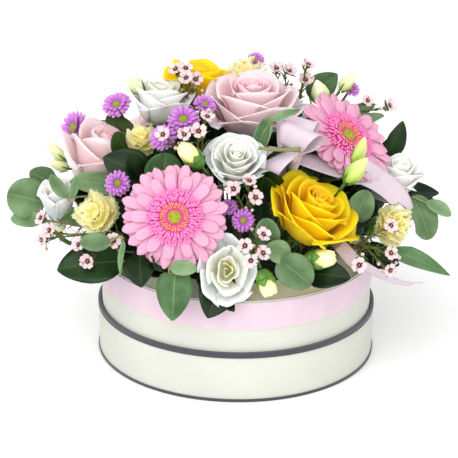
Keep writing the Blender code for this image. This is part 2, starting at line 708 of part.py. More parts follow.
def carnation_bud(matrix, length, radius, path, stalk_radius):
    """A bud with its petals just out of a toothed green cup."""
    teeth = [(-0.5, 0.9, -0.22 * length), (0.0, 1.0, 0.0)]
    return lofted(stalk(path, stalk_radius, 4, matrix.to_3x3() @ Vector((1, 0, 0))) + [
        circle(matrix, 5, 0.55 * radius, 0.05 * length), circle(matrix, 5, 0.95 * radius, 0.34 * length),
        scalloped(matrix, 5, teeth, 1.04 * radius, 0.66 * length), circle(matrix, 5, 0.86 * radius, 0.52 * length),
        circle(matrix, 5, 0.74 * radius, 0.86 * length), circle(matrix, 5, 0, length)])


def twisted_bud(matrix, length, radius, path, stalk_radius):
    """A furled lisianthus bud."""
    ridges = [(0.0, 1.0, 0.0), (0.5, 0.72, 0.0)]
    rings = stalk(path, stalk_radius, 4, matrix.to_3x3() @ Vector((1, 0, 0)))
    for r, z in ((0.55, 0.06), (1.0, 0.32), (0.86, 0.58), (0.42, 0.84)):
        twist = matrix @ Matrix.Rotation(1.2 * z, 4, "Z")
        rings.append(scalloped(twist, 3, ridges, r * radius, z * length))
    return lofted(rings + [circle(matrix, 3, 0, length)])


def make_buds():
    for name, buds in CARNATION_BUDS.items():
        forked_buds(name, buds, carnation_bud, 1.5)
    for name, buds in LISIANTHUS_BUDS.items():
        forked_buds(name, buds, twisted_bud, 1.4)


def daisy(matrix, radius, path):
    petal = [(-0.5, 0.36, 0.0), (-0.26, 1.0, 0.9), (0.26, 1.0, -0.6)]
    rings = stalk(path, 1.2, 4, matrix.to_3x3() @ Vector((1, 0, 0)))
    rings += [scalloped(matrix, DAISY_PETALS, petal, radius, 0.6),
              circle(matrix, DAISY_PETALS, 0.31 * radius, 1.0), circle(matrix, 7, 0.24 * radius, 2.6),
              circle(matrix, 7, 0, 3.2)]
    return lofted(rings)


def make_daisies():
    for name, heads in DAISIES.items():
        solids = []
        fork = None
        for at, facing, radius in heads:
            axis = towards(*facing)
            start = Vector(at) - axis * 3
            if fork is None:
                path = rooted(stem_path(start, -axis), 1.3)
                fork = path[2]
            else:
                path = [start, cleared(start - axis * 10), fork]
            solids.append(daisy(placed(Vector(at), axis), radius, path))
            block(start, Vector(at), 0.85 * radius)
        fused(name, solids, "purple")


def floret(matrix, path):
    """A waxflower floret on its stalk: five round petals round a hollow cup."""
    petal = [(-0.5, 0.45, 0.8), (-0.25, 0.98, 1.5), (0.25, 0.98, 1.5)]
    rings = stalk(path, 1.1, 3, matrix.to_3x3() @ Vector((1, 0, 0)), True)
    rings += [scalloped(matrix, 5, petal, FLORET_RADIUS, 0),
              circle(matrix, 5, 0.34 * FLORET_RADIUS, 1.4), circle(matrix, 5, 0, -1.0)]
    return lofted(rings)


def make_waxflowers():
    for name, (fork, florets) in WAXFLOWERS.items():
        fork = Vector(fork)
        heart = sum((Vector(at) for at, _ in florets), Vector()) / len(florets)
        path = rooted(stem_path(fork, (STEM_HEART - heart).normalized(), 2), 1.4)
        solids = [bar(path, 1.4, 4)]
        for i, (at, facing) in enumerate(florets):
            axis = towards(*facing)
            start = Vector(at) - axis * 3
            twig = [start, cleared(start - axis * 7), path[0].lerp(path[1], 0.05 + 0.5 * i / len(florets))]
            solids.append(floret(placed(Vector(at), axis), twig))
            block(start, Vector(at), FLORET_RADIUS)
            block(twig[1], twig[2], 1.1)
        fused(name, solids, "waxflower")


OUTLINES = {
    ROUND_LEAF: (0.78, 1.0, 0.80),
    OVAL: (0.70, 1.0, 0.66),
    POINTED: (0.74, 0.97, 0.48),
    NARROW: (0.66, 1.0, 0.60),
}


def leaf(fork, base, tip, width, facing, outline, cup):
    """A leaf with its stalk from the fork, as one blade."""
    fork, base, tip = Vector(fork), Vector(base), Vector(tip)
    along = tip - base
    length = along.length
    side = along.cross(towards(*facing)).normalized()
    up = side.cross(along).normalized()
    first, second, third = (width / 2 * part for part in OUTLINES[outline])
    bow = 0.06 * length
    spine = [(fork, 0), (base, 1.4), (base + along * 0.18 + up * bow * 0.6, first),
             (base + along * 0.5 + up * bow, second), (base + along * 0.82 + up * bow * 0.6, third),
             (tip, 0)]

    def point(u, v):
        row = round(v * (len(spine) - 1))
        middle, half = spine[row]
        place = middle + side * u * half + up * cup * abs(u) * half / width * 2
        return place if row == 0 else cleared(place)

    return blade(point, len(spine), 3, [2.2, 2.2, 1.4, 1.4, 1.4, 1.4])


def make_foliage():
    for name, (fork, leaves) in FOLIAGE.items():
        fork = Vector(fork)
        heart = sum((Vector(one[0]) for one in leaves), Vector()) / len(leaves)
        path = rooted(stem_path(fork, (STEM_HEART - heart).normalized(), 2), 1.8)
        solids = [bar(path, 1.8, 4)]
        for i, one in enumerate(leaves):
            solids.append(leaf(path[0].lerp(path[1], 0.06 + 0.7 * i / len(leaves)), *one))
            block(one[0], one[1], 3.0)
        fused(name, solids, "foliage")


# The ribbon bow and the loose tail


def streamer(points):
    """A length of ribbon through the points, clear of the blooms."""
    lines = []
    for u in (-1, 0, 1):
        line = [cleared(Vector(at) + towards(*across) * u * BOW_WIDTH / 2 * part)
                for at, across, part in points]
        for start, end in zip(line, line[1:]):
            block(start, end, 1.5)
        lines.append(line)
    return blade(lambda u, v: lines[round(u) + 1][round(v * (len(points) - 1))], len(points), 3)


def bow_loop(knot, fold, across, bulge):
    knot, fold, across = Vector(knot), Vector(fold), Vector(across).normalized()
    swell = across.cross(fold - knot).normalized() * bulge

    def point(u, v):
        a = math.pi * (0.1 + 1.8 * v)
        reach = (1 - math.cos(a)) / 2
        width = BOW_WIDTH / 2 * (0.45 + 0.55 * reach**0.7)
        opening = swell * math.sin(a) * (0.35 + 0.65 * reach)
        return cleared(knot.lerp(fold, reach) + opening + across * u * width)

    heart = knot.lerp(fold, 0.6)
    block(heart - across * 16, heart + across * 16, bulge)
    return blade(point, 7, 3)


def make_bow():
    matrix = placed(BOW_KNOT, BOW_ACROSS.normalized())
    knot = turned([(0, -15), (6, -12), (8, 0), (6, 12), (0, 15)], 6, matrix)
    loops = [bow_loop(*loop) for loop in BOW_LOOPS]
    pick = stem(BOW_KNOT, Vector((0, 0, -1)), 1.6)
    fused("ribbon_bow", [knot] + loops + [streamer(BOW_TAIL), pick], "ribbon")
    top = Vector(RIBBON_TAIL[0][0]) + Vector((2, -2, 0))
    fused("ribbon_tail", [streamer(RIBBON_TAIL), stem(top, Vector((0, 0, -1)), 1.4, 4, 1)], "ribbon")


# The box


def cup(radius, low, high):
    """A round card tray with an open top."""
    inner = radius - CARD
    return turned([(0, low), (radius, low), (radius, high), (inner, high), (inner, low + CARD),
                   (0, low + CARD)], ROUND)


def hoop(inner, outer, low, high):
    return turned([(inner, low), (outer, low), (outer, high), (inner, high)], ROUND)


def make_box():
    seam = LID_HEIGHT - RIM_TRIM_HEIGHT
    node("lid", cup(LID_RADIUS, 0, seam - GAP), "card")
    outer = LID_RADIUS + GAP + TRIM
    node("lid_rim_trim", hoop(LID_RADIUS - CARD, outer, seam, LID_HEIGHT), "trim")
    node("lid_base_trim", hoop(LID_RADIUS + GAP, outer, 0, BASE_TRIM_HEIGHT), "trim")
    node("hat_box", cup(BOX_RADIUS, CARD + GAP, BOX_HEIGHT), "card")
    band = BOX_RADIUS + GAP
    high = BOX_HEIGHT - RIBBON_BELOW_RIM
    node("ribbon_band", hoop(band, band + RIBBON_THICK, high - RIBBON_WIDTH, high), "ribbon")


def make_liner_and_foam():
    floor = 2 * CARD + 2 * GAP
    edge = BOX_RADIUS - CARD - GAP
    flange = BOX_HEIGHT - LINER_FLANGE_DROP
    wall = FOAM_RADIUS + GAP
    outer = wall + LINER_THICK
    node("liner", turned([(0, floor), (outer, floor), (outer, flange - LINER_THICK),
                          (edge, flange - LINER_THICK), (edge, flange), (wall, flange),
                          (wall, floor + LINER_THICK), (0, floor + LINER_THICK)], ROUND), "liner")
    side = FOAM_RADIUS - GAP
    block_of_foam = turned([(side, floor + LINER_THICK + GAP), (side, FOAM_TOP - FOAM_CHAMFER),
                            (FOAM_RADIUS - FOAM_CHAMFER, FOAM_TOP), (0, FOAM_TOP)], FOAM_SIDES)
    foam = node("foam", block_of_foam, "foam")
    reshape(foam, "DIFFERENCE", holes)


def main():
    for old in list(bpy.data.objects):
        bpy.data.objects.remove(old)
    make_box()
    make_roses()
    make_gerberas()
    make_carnations()
    make_buds()
    make_daisies()
    make_waxflowers()
    make_bow()
    make_foliage()
    make_liner_and_foam()


main()
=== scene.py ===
"""The looks of a flower hat box: finer pieces and finishes for every part of its measured frame.

Places are in millimetres and become metres when a piece is finished. A direction is an (azimuth,
rise) pair in degrees: azimuth 0 faces the front and 90 faces +X, and rise is above the horizon.
"""

import math
import random

import bmesh
import bpy
from bpy.props import FloatProperty, FloatVectorProperty, PointerProperty
from mathutils import Matrix, Vector


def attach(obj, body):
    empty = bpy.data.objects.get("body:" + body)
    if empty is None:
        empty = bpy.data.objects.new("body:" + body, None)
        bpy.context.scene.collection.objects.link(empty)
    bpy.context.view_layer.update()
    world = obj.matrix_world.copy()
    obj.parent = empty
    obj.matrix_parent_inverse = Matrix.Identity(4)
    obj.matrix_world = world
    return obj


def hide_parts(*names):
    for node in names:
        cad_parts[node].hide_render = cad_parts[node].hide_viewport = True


bl_info = {
    "name": "Flower hat box",
    "version": (1, 0, 0),
    "blender": (4, 5, 0),
    "location": "3D View > Sidebar > Hat box",
    "description": "Dresses the frame of a flower hat box with petals, leaves, ribbon and card",
    "category": "Add Mesh",
}

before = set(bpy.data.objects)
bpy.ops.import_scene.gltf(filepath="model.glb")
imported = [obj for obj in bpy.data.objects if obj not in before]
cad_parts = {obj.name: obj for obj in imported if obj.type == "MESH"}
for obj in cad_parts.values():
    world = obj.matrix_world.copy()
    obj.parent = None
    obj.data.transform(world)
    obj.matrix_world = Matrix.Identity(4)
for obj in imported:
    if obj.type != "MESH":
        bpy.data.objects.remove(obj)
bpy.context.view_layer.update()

MM = 0.001
ROOT = "root"

# The box and its lid
CARD = 2.0
GAP = 0.3
LID_RADIUS = 126.4
LID_HEIGHT = 46.8
BOX_RADIUS = 123.4
BOX_HEIGHT = 94.8
TRIM = 0.6
RIM_TRIM_HEIGHT = 4.8
BASE_TRIM_HEIGHT = 2.6
RIBBON_WIDTH = 25.0
RIBBON_THICK = 0.6
RIBBON_BELOW_RIM = 1.6
LINER_THICK = 1.2
LINER_FLANGE_DROP = 3.2
LINER_RISE = 7.0  # by which the lining paper rises from the rim to the foam
FOAM_RADIUS = 92.0
FOAM_TOP = 97.0
STEM_HEART = Vector((0.0, 0.0, -60.0))  # the point that the stems aim at

# How pieces are made
MERGED = 0.0005  # millimetres within which two vertices become one
SHARP = 40  # degrees between two faces from which card and trim keep a sharp edge
MAX_SHIFT = 2.0  # millimetres by which clearing the blooms may move a point of an under leaf
MAX_PHASE = 6.3  # a little over a full turn, in radians
FOOT_SLICE = 0.004  # metres at a stem's lower end whose middle is its foot
# Radius and number of sides of each kind of stem
STEMS = {"rose": (2.1, 8), "gerbera": (2.8, 8), "carnation": (1.7, 7), "bud": (1.4, 7),
         "bud_fork": (1.2, 6), "side_bud": (1.3, 6), "daisy": (1.2, 6), "daisy_fork": (1.0, 6),
         "waxflower": (1.3, 6), "foliage": (1.7, 6), "under_leaves": (0.9, 5), "bow": (1.5, 6),
         "tail": (1.2, 6)}
# What the random numbers of each group start from
SEEDS = {"rose": 0, "gerbera": 40, "carnation": 60, "daisy": 80, "waxflower": 100, "foliage": 120,
         "under_leaves": 7}
# Places in a piece's list of finishes: petals, the middle or cup of a bloom, its stalk, the needles and
# buds of waxflower, and the parts of a gerbera's disc
PETALS, MIDDLE, STALK, NEEDLES, WAX_BUDS = range(5)
BED, FLORETS, INNER_FLORETS, EYE = range(4)

# Roses and lisianthus: (name, colour, middle of the face, direction, radius, depth, kind, turn, the
# direction that its open petals face)
ROSES = [
    ("rose_yellow_front", "yellow", (70, -86, 168), (28, 46), 38.5, 46, "full", 12, (62, 62)),
    ("rose_yellow_back", "yellow", (-37, 54, 247), (170, 76), 30, 42, "tall", 40, (100, 80)),
    ("rose_pink_top", "blush", (13, 0, 243), (8, 66), 42, 52, "full", 75, (20, 82)),
    ("rose_pink_left", "rosy", (-141, -10, 192), (-70, 42), 36, 60, "tall", 4, (80, 76)),
    ("rose_white_middle", "white", (-2, -72, 210), (0, 50), 25, 34, "small", 60, (8, 56)),
    ("lisianthus_front", "ivory", (-10, -132, 125), (-9, 18), 27, 30, "ruffled", 130, (4, 26)),
    ("lisianthus_top_left", "ivory", (-70, 6, 241), (20, 66), 27, 38, "tall", 15, (80, 82)),
    ("lisianthus_left", "ivory", (-177, -51, 152), (-62, 10), 16, 52, "bud", 0, (-10, 80)),
    ("rose_white_right", "white", (157, 0, 170), (72, 32), 21, 34, "tall", 50, (10, 76)),
    ("rose_white_back", "white", (66, 106, 186), (150, 32), 26, 38, "small", 20, (150, 36)),
    ("rose_pink_back", "rosy", (-82, 102, 184), (-142, 32), 31, 42, "small", 80, (-142, 38)),
]
TWO_PARTS = ("rose_yellow_front", "rose_pink_top", "lisianthus_front")
# Each layer of petals: how many, radius and height of the foot and of the rim, half width in
# degrees, how far the rim flares, how far it rolls back
LAYERS = {
    "full": [(3, 0.10, 0.46, 0.20, 1.00, 82, 0.00, 0.02), (3, 0.20, 0.42, 0.31, 1.01, 76, 0.01, 0.03),
             (3, 0.26, 0.34, 0.44, 1.00, 74, 0.03, 0.06), (4, 0.28, 0.22, 0.60, 0.97, 58, 0.05, 0.09),
             (5, 0.28, 0.10, 0.75, 0.89, 48, 0.08, 0.13), (5, 0.26, 0.04, 0.84, 0.76, 44, 0.14, 0.15)],
    "small": [(3, 0.10, 0.44, 0.24, 1.00, 80, 0.00, 0.03), (3, 0.22, 0.38, 0.38, 0.99, 76, 0.02, 0.05),
              (4, 0.26, 0.26, 0.56, 0.96, 60, 0.05, 0.08), (5, 0.28, 0.10, 0.74, 0.88, 48, 0.08, 0.12),
              (4, 0.26, 0.05, 0.84, 0.76, 50, 0.12, 0.14)],
    "bud": [(3, 0.10, 0.36, 0.26, 0.98, 80, 0.00, 0.03), (3, 0.24, 0.28, 0.44, 0.98, 74, 0.03, 0.06),
            (3, 0.26, 0.18, 0.62, 0.94, 70, 0.06, 0.09), (4, 0.28, 0.10, 0.78, 0.88, 56, 0.12, 0.12)],
    "tall": [(3, 0.10, 0.40, 0.22, 1.00, 80, 0.00, 0.02), (3, 0.20, 0.32, 0.34, 1.02, 78, 0.01, 0.04),
             (3, 0.24, 0.20, 0.52, 1.02, 70, 0.04, 0.08), (3, 0.26, 0.10, 0.68, 0.97, 66, 0.08, 0.14),
             (4, 0.26, 0.05, 0.82, 0.86, 54, 0.14, 0.18)],
    "ruffled": [(3, 0.20, 0.34, 0.34, 0.93, 78, 0.04, 0.04), (3, 0.26, 0.22, 0.58, 0.95, 70, 0.10, 0.07),
                (5, 0.28, 0.06, 0.86, 0.86, 44, 0.16, 0.10)],
}
# How deeply the rim of a petal waves, and how far its middle comes to a point
RUFFLE = {"full": 0.014, "small": 0.016, "tall": 0.024, "bud": 0.014, "ruffled": 0.05}
PEAK = {"full": 0.13, "small": 0.11, "tall": 0.18, "bud": 0.1, "ruffled": 0.06}

# Gerberas: (name, middle of the face, direction, radius)
GERBERAS = [
    ("gerbera_front", (-53, -112, 167), (-3, 22), 47),
    ("gerbera_right", (98, -6, 206), (53, 48), 49),
]

# Carnations: (name, top of the head, direction, radius)
CARNATIONS = [
    ("carnation_left", (-126, -82, 160), (-25, 34), 20),
    ("carnation_right", (146, -54, 140), (50, 22), 20),
    ("carnation_small", (-86, -31, 214), (-20, 55), 15),
    ("carnation_top", (7, 72, 250), (176, 66), 21),
]

# Carnation bud stems: name, then (base, tip, radius) of each bud on the forked stem
CARNATION_BUDS = {
    "carnation_bud_middle": [((-31, -77, 200), (-48, -87, 222), 8.5)],
    "carnation_buds_front": [((21, -124, 125), (30, -135, 105), 8.5),
                             ((57, -108, 126), (84, -117, 134), 8.5)],
}

# Lisianthus bud stems, in the same form
LISIANTHUS_BUDS = {
    "lisianthus_buds_right": [((101, -64, 200), (109, -73, 228), 5.5),
                              ((94, -76, 188), (111, -84, 213), 7.5)],
    "lisianthus_buds_back": [((92, 38, 234), (109, 36, 256), 5.5), ((76, 36, 222), (70, 32, 246), 8.0)],
    "lisianthus_buds_left": [((-156, 14, 172), (-177, 16, 190), 5.0),
                             ((-154, 8, 166), (-174, 4, 174), 4.5)],
}

# Daisy sprays: name, then (middle, direction, radius) of each head
DAISIES = {
    "daisies_left": [((-109, 10, 226), (-25, 52), 14), ((-148, 24, 199), (-58, 26), 18)],
    "daisies_middle": [((-48, -42, 230), (0, 56), 15), ((-65, -58, 219), (-22, 40), 13),
                       ((-30, -28, 240), (40, 60), 11)],
    "daisies_edge": [((-104, -72, 182), (12, 22), 12)],
    "daisies_front": [((5, -100, 160), (12, 20), 11), ((-8, -94, 169), (-20, 62), 9)],
    "daisies_back": [((22, 112, 212), (176, 44), 12), ((-10, 114, 200), (-170, 36), 13),
                     ((15, 84, 248), (10, 60), 9)],
    "daisies_right": [((102, 46, 233), (40, 50), 9)],
}

# Waxflower sprays: name, fork of the stem, then (middle, direction) of each floret
WAXFLOWERS = {
    "waxflower_middle": ((-34, -50, 186), [
        ((-64, -78, 229), (-20, 34)), ((-46, -78, 229), (-5, 42)), ((-34, -77, 232), (8, 40)),
        ((-27, -62, 240), (30, 62))]),
    "waxflower_back": ((-41, 16, 204), [
        ((-48, 21, 258), (10, 50)), ((-57, 24, 256), (-25, 50)), ((-39, 17, 249), (20, 40)),
        ((-47, 11, 252), (-20, 50))]),
    "waxflower_front": ((14, -88, 138), [
        ((-3, -99, 188), (-20, 34)), ((10, -98, 195), (10, 60)), ((15, -102, 182), (22, 24)),
        ((22, -122, 156), (40, 40)), ((7, -138, 152), (-5, 30)), ((12, -143, 141), (0, 10)),
        ((22, -134, 144), (25, 30))]),
    "waxflower_left": ((-106, -76, 138), [
        ((-170, -76, 130), (-40, 8)), ((-172, -60, 144), (-50, 30)), ((-128, -104, 122), (-20, 14)),
        ((-136, -99, 135), (-34, 34)), ((-163, -80, 140), (-36, 40)), ((-106, -106, 142), (10, 28))]),
    "waxflower_right": ((110, -70, 130), [
        ((133, -82, 150), (20, 30)), ((106, -102, 121), (-5, 20)), ((133, -96, 130), (20, 30)),
        ((133, -96, 114), (24, 14))]),
    "waxflower_top": ((50, 46, 200), [
        ((34, 50, 250), (0, 60)), ((45, 44, 250), (40, 50)), ((60, 36, 244), (20, 50)),
        ((62, 30, 260), (60, 70)),
        ((118, 52, 220), (30, 40)), ((138, 54, 215), (60, 30))]),
}

# Foliage stems: name, fork above the foam, then leaves as (base, tip, width, direction of its
# upper face, outline, cup, finish). A cup above 0 hollows the upper face along the leaf.
ROUND_LEAF, OVAL, POINTED, NARROW = "round", "oval", "pointed", "narrow"
GLOSSY, VEINED, GREY, OLIVE, LEAF_STALK = range(5)
FOLIAGE = {
    "foliage_front_left": ((-88, -64, 114), [
        ((-98, -94, 118), (-156, -94, 110), 39, (-20, 40), POINTED, 3, GLOSSY),
        ((-116, -62, 114), (-158, -62, 98), 24, (-40, 30), POINTED, 2, GLOSSY),
        ((-108, -111, 143), (-134, -115, 143), 17, (-15, 30), OVAL, 1, GREY),
        ((-94, -112, 148), (-99, -122, 116), 8, (-50, 10), NARROW, 1, GREY),
        ((-132, -50, 138), (-158, -51, 144), 16, (-30, 30), OVAL, 2, GREY),
        ((-70, -50, 140), (-112, -58, 150), 34, (-14, 50), POINTED, 2, GLOSSY),
        ((-62, -92, 116), (-94, -122, 124), 32, (-15, 40), POINTED, 2, GLOSSY),
        ((-50, -94, 118), (-72, -124, 134), 32, (-10, 40), POINTED, 2, GLOSSY),
    ]),
    "foliage_left": ((-112, -12, 128), [
        ((-172, -26, 146), (-205, -32, 156), 37, (-10, 22), ROUND_LEAF, 2, GREY),
        ((-158, -14, 156), (-187, -10, 169), 22, (-15, 30), OVAL, 2, VEINED),
        ((-174, -36, 132), (-202, -36, 134), 17, (-20, 40), OVAL, 2, GREY),
        ((-158, 22, 138), (-196, 36, 130), 30, (-80, 40), POINTED, 2, GLOSSY),
        ((-142, 4, 124), (-176, -4, 108), 26, (-70, 20), OVAL, 2, GREY),
        ((-104, -40, 166), (-148, -48, 174), 28, (-20, 50), POINTED, 2, GREY),
        ((-112, -24, 148), (-160, -22, 166), 34, (-20, 40), POINTED, 2, GLOSSY),
        ((-148, -67, 166), (-163, -63, 186), 12, (-20, 25), OVAL, 1, GREY),
        ((-144, -67, 166), (-139, -64, 184), 8, (-10, 20), OVAL, 1, GREY),
    ]),
    "foliage_front": ((-44, -86, 110), [
        ((-83, -112, 132), (-80, -137, 112), 28, (-12, 40), POINTED, 3, GLOSSY),
        ((-52, -126, 127), (-53, -147, 86), 31, (-4, 22), POINTED, -3, VEINED),
        ((-56, -133, 129), (-33, -139, 131), 14, (0, 35), OVAL, 1, GREY),
        ((-10, -116, 118), (-25, -142, 87), 34, (4, 24), POINTED, 3, GLOSSY),
        ((-26, -112, 105), (-1, -135, 90), 20, (0, 55), POINTED, 2, GLOSSY),
    ]),
    "foliage_front_right": ((50, -80, 110), [
        ((27, -103, 136), (25, -111, 167), 22, (4, 12), ROUND_LEAF, 1, GREY),
        ((36, -119, 131), (64, -132, 115), 31, (8, 34), ROUND_LEAF, 2, GREY),
        ((46, -112, 132), (24, -116, 142), 21, (0, 36), OVAL, 2, GREY),
        ((62, -106, 114), (98, -121, 116), 27, (12, 36), POINTED, 3, GLOSSY),
        ((102, -50, 140), (114, -54, 172), 25, (14, 20), ROUND_LEAF, 2, GREY),
        ((23, -84, 150), (16, -92, 184), 15, (0, 20), POINTED, 1, GLOSSY),
        ((15, -45, 200), (28, -42, 236), 15, (-10, 20), OVAL, 1, GREY),
        ((18, -48, 208), (23, -46, 234), 12, (10, 20), POINTED, 1, VEINED),
        ((28, -48, 233), (54, -44, 243), 8, (0, 40), NARROW, 1, GREY),
    ]),
    "foliage_right": ((116, -18, 122), [
        ((156, -24, 156), (172, -38, 120), 28, (20, 26), ROUND_LEAF, 3, GREY),
        ((168, -30, 152), (191, -30, 140), 14, (40, 30), OVAL, 2, GREY),
        ((128, -62, 122), (188, -74, 99), 18, (20, 42), NARROW, 2, VEINED),
        ((150, 34, 128), (190, 50, 116), 30, (70, 40), POINTED, 2, GLOSSY),
        ((110, -36, 136), (123, -50, 160), 22, (10, 30), POINTED, 2, GLOSSY),
        ((106, -62, 116), (142, -82, 112), 28, (20, 40), POINTED, 2, GLOSSY),
        ((140, 10, 140), (184, 10, 146), 30, (70, 50), POINTED, 2, GLOSSY),
    ]),
    "foliage_middle": ((-90, -44, 166), [
        ((-78, -50, 182), (-118, -46, 197), 34, (-10, 28), POINTED, 3, GLOSSY),
        ((-66, -62, 176), (-62, -70, 210), 34, (4, 26), ROUND_LEAF, 2, VEINED),
        ((-86, -60, 182), (-94, -62, 206), 15, (0, 30), OVAL, 1, GLOSSY),
        ((-92, -10, 190), (-118, 20, 214), 30, (-60, 40), POINTED, 2, OLIVE),
        ((-96, -26, 190), (-108, -34, 216), 22, (-10, 30), OVAL, 2, OLIVE),
    ]),
    "foliage_back": ((0, 84, 114), [
        ((30, 116, 166), (60, 152, 150), 36, (165, 50), POINTED, 3, GLOSSY),
        ((-24, 116, 156), (-46, 154, 138), 36, (-165, 48), POINTED, 3, VEINED),
        ((4, 120, 180), (8, 154, 176), 32, (180, 50), ROUND_LEAF, 2, GREY),
        ((20, 110, 118), (36, 146, 100), 38, (170, 50), POINTED, 3, GLOSSY),
        ((-20, 110, 112), (-30, 148, 96), 38, (-170, 50), POINTED, -3, GLOSSY),
        ((-4, 104, 130), (0, 138, 132), 34, (180, 60), ROUND_LEAF, 2, GREY),
    ]),
    "foliage_back_right": ((66, 62, 118), [
        ((70, 100, 136), (112, 126, 120), 38, (140, 50), POINTED, 3, GLOSSY),
        ((98, 76, 158), (138, 92, 158), 32, (120, 50), ROUND_LEAF, 2, GREY),
        ((98, 70, 190), (128, 94, 204), 30, (130, 50), POINTED, 2, VEINED),
        ((104, 50, 126), (150, 66, 112), 38, (110, 50), POINTED, 3, GLOSSY),
        ((58, 94, 116), (72, 132, 104), 36, (160, 50), OVAL, 2, GREY),
    ]),
    "foliage_back_left": ((-68, 60, 120), [
        ((-66, 100, 130), (-104, 126, 114), 38, (-140, 50), POINTED, 3, GLOSSY),
        ((-108, 66, 150), (-148, 78, 148), 34, (-115, 50), ROUND_LEAF, 2, GREY),
        ((-104, 40, 176), (-134, 54, 196), 28, (-110, 40), POINTED, 2, OLIVE),
        ((-24, 90, 186), (-34, 118, 208), 26, (-170, 30), POINTED, 2, GLOSSY),
        ((-110, 50, 120), (-150, 48, 104), 36, (-100, 50), POINTED, 3, VEINED),
    ]),
    "foliage_top": ((88, 44, 176), [
        ((64, 56, 222), (90, 62, 243), 26, (40, 36), POINTED, 2, VEINED),
        ((104, 50, 190), (134, 60, 204), 26, (110, 50), ROUND_LEAF, 2, GREY),
        ((134, 32, 172), (150, 32, 208), 24, (40, 30), POINTED, 2, GLOSSY),
    ]),
}
CUT_STALK = ((17.5, -68, 214.6), (34, -68, 213.4), (54, -67, 213.6))  # the stub that lies over the bow
# How full an outline is towards the leaf's base and towards its tip
OUTLINES = {ROUND_LEAF: (0.42, 0.46), OVAL: (0.55, 0.60), POINTED: (0.50, 0.78), NARROW: (0.60, 0.95)}

# The ribbon bow. Each loop: where it leaves the knot, its fold, the way across the ribbon, half the
# opening, the part of its full width at the knot. Each tail: points of its middle line, and the
# direction across the ribbon and the part of its full width at each.
BOW_KNOT = Vector((45, -51, 202))
BOW_WIDTH = 38.0
BOW_THICK = 0.45
BOW_ACROSS = Vector((27, -20, -3))
BOW_LOOPS = {
    "bow_loop_front": ((46, -56, 211), (58, -47, 225), (33, -20, -8), 11, 0.6),
    "bow_loop_rear": ((46, -49, 205), (53, -30, 230), (32, -12, -5), 8, 0.6),
    "bow_loop_low": ((41, -51, 208), (21, -52, 180), (31, -19, 0), 15, 0.85),
}
BOW_TAIL = [
    ((48, -42, 199), (170, 20), 0.4), ((75, -36, 190), (168, 30), 0.5), ((96, -34, 184), (165, 32), 0.6),
    ((120, -33, 176), (160, 34), 0.65), ((140, -36, 163), (150, 36), 0.62),
    ((150, -38, 148), (140, 36), 0.55), ((153, -36, 132), (130, 36), 0.45),
]
RIBBON_TAIL = [
    ((80, -66, 140), (110, 30), 0.32), ((92, -78, 128), (110, 35), 0.32),
    ((104, -87, 117), (100, 38), 0.32), ((122, -87, 107), (50, 36), 0.30),
    ((143, -86, 99), (20, 50), 0.22), ((164, -81, 95), (10, 60), 0.14),
]

# The camera, as the photograph was taken
CAMERA_AT = (0.0, -1.64829, 0.76581)
CAMERA_RIGHT = Vector((0.99990, 0.00892, 0.01136))
CAMERA_UP = Vector((-0.01384, 0.36846, 0.92954))
CAMERA_BACK = Vector((0.00410, -0.92960, 0.36855))
CAMERA_FOCAL_PIXELS = 1941
PHOTO_PIXELS = 458
SENSOR = 36.0

# The stage. Each light: the direction that it comes from and the angle that it fills, in degrees. The
# floor's sizes are in metres.
KEY_LIGHT = ((-30, 40), 55)
FILL_LIGHT = ((16, 22), 60)
FLOOR_HALF = 6.0
FLOOR_BELOW = 0.0002


def shade(red, green, blue):
    """A colour as it appears, from 0 to 255, as the light that it reflects, from 0 to 1."""
    return tuple((v / 255 / 12.92 if v <= 10 else ((v / 255 + 0.055) / 1.055) ** 2.4)
                 for v in (red, green, blue))


def colour_property(name, words, *value):
    return FloatVectorProperty(name=name, description=words, subtype="COLOR", size=3, min=0, max=1,
                               default=shade(*value))


# Settings


class HATBOX_PG_box(bpy.types.PropertyGroup):
    card: colour_property("Card", "Covering paper of the box and lid", 194, 196, 187)
    trim: colour_property("Trim", "Dark strips round the lid", 48, 44, 54)
    ribbon: colour_property("Ribbon", "Satin ribbon of the band and bow", 222, 203, 212)
    ribbon_shade: colour_property("Ribbon shade", "Ribbon between its ribs", 208, 182, 197)
    # Greyer and darker than the band, though the same satin: painted shade on the bow and its tails
    # among the blooms
    bow: colour_property("Bow", "Satin ribbon of the bow and tail", 213, 199, 208)
    bow_shade: colour_property("Bow shade", "Bow ribbon between its ribs", 200, 181, 194)
    liner: colour_property("Liner", "Lining inside the rim", 252, 250, 226)
    foam: colour_property("Foam", "Wet floral foam", 34, 52, 28)
    rib: FloatProperty(name="Rib", description="Width of a rib of the ribbon, in metres", default=0.0013,
                       min=0.0003, subtype="DISTANCE", unit="LENGTH")


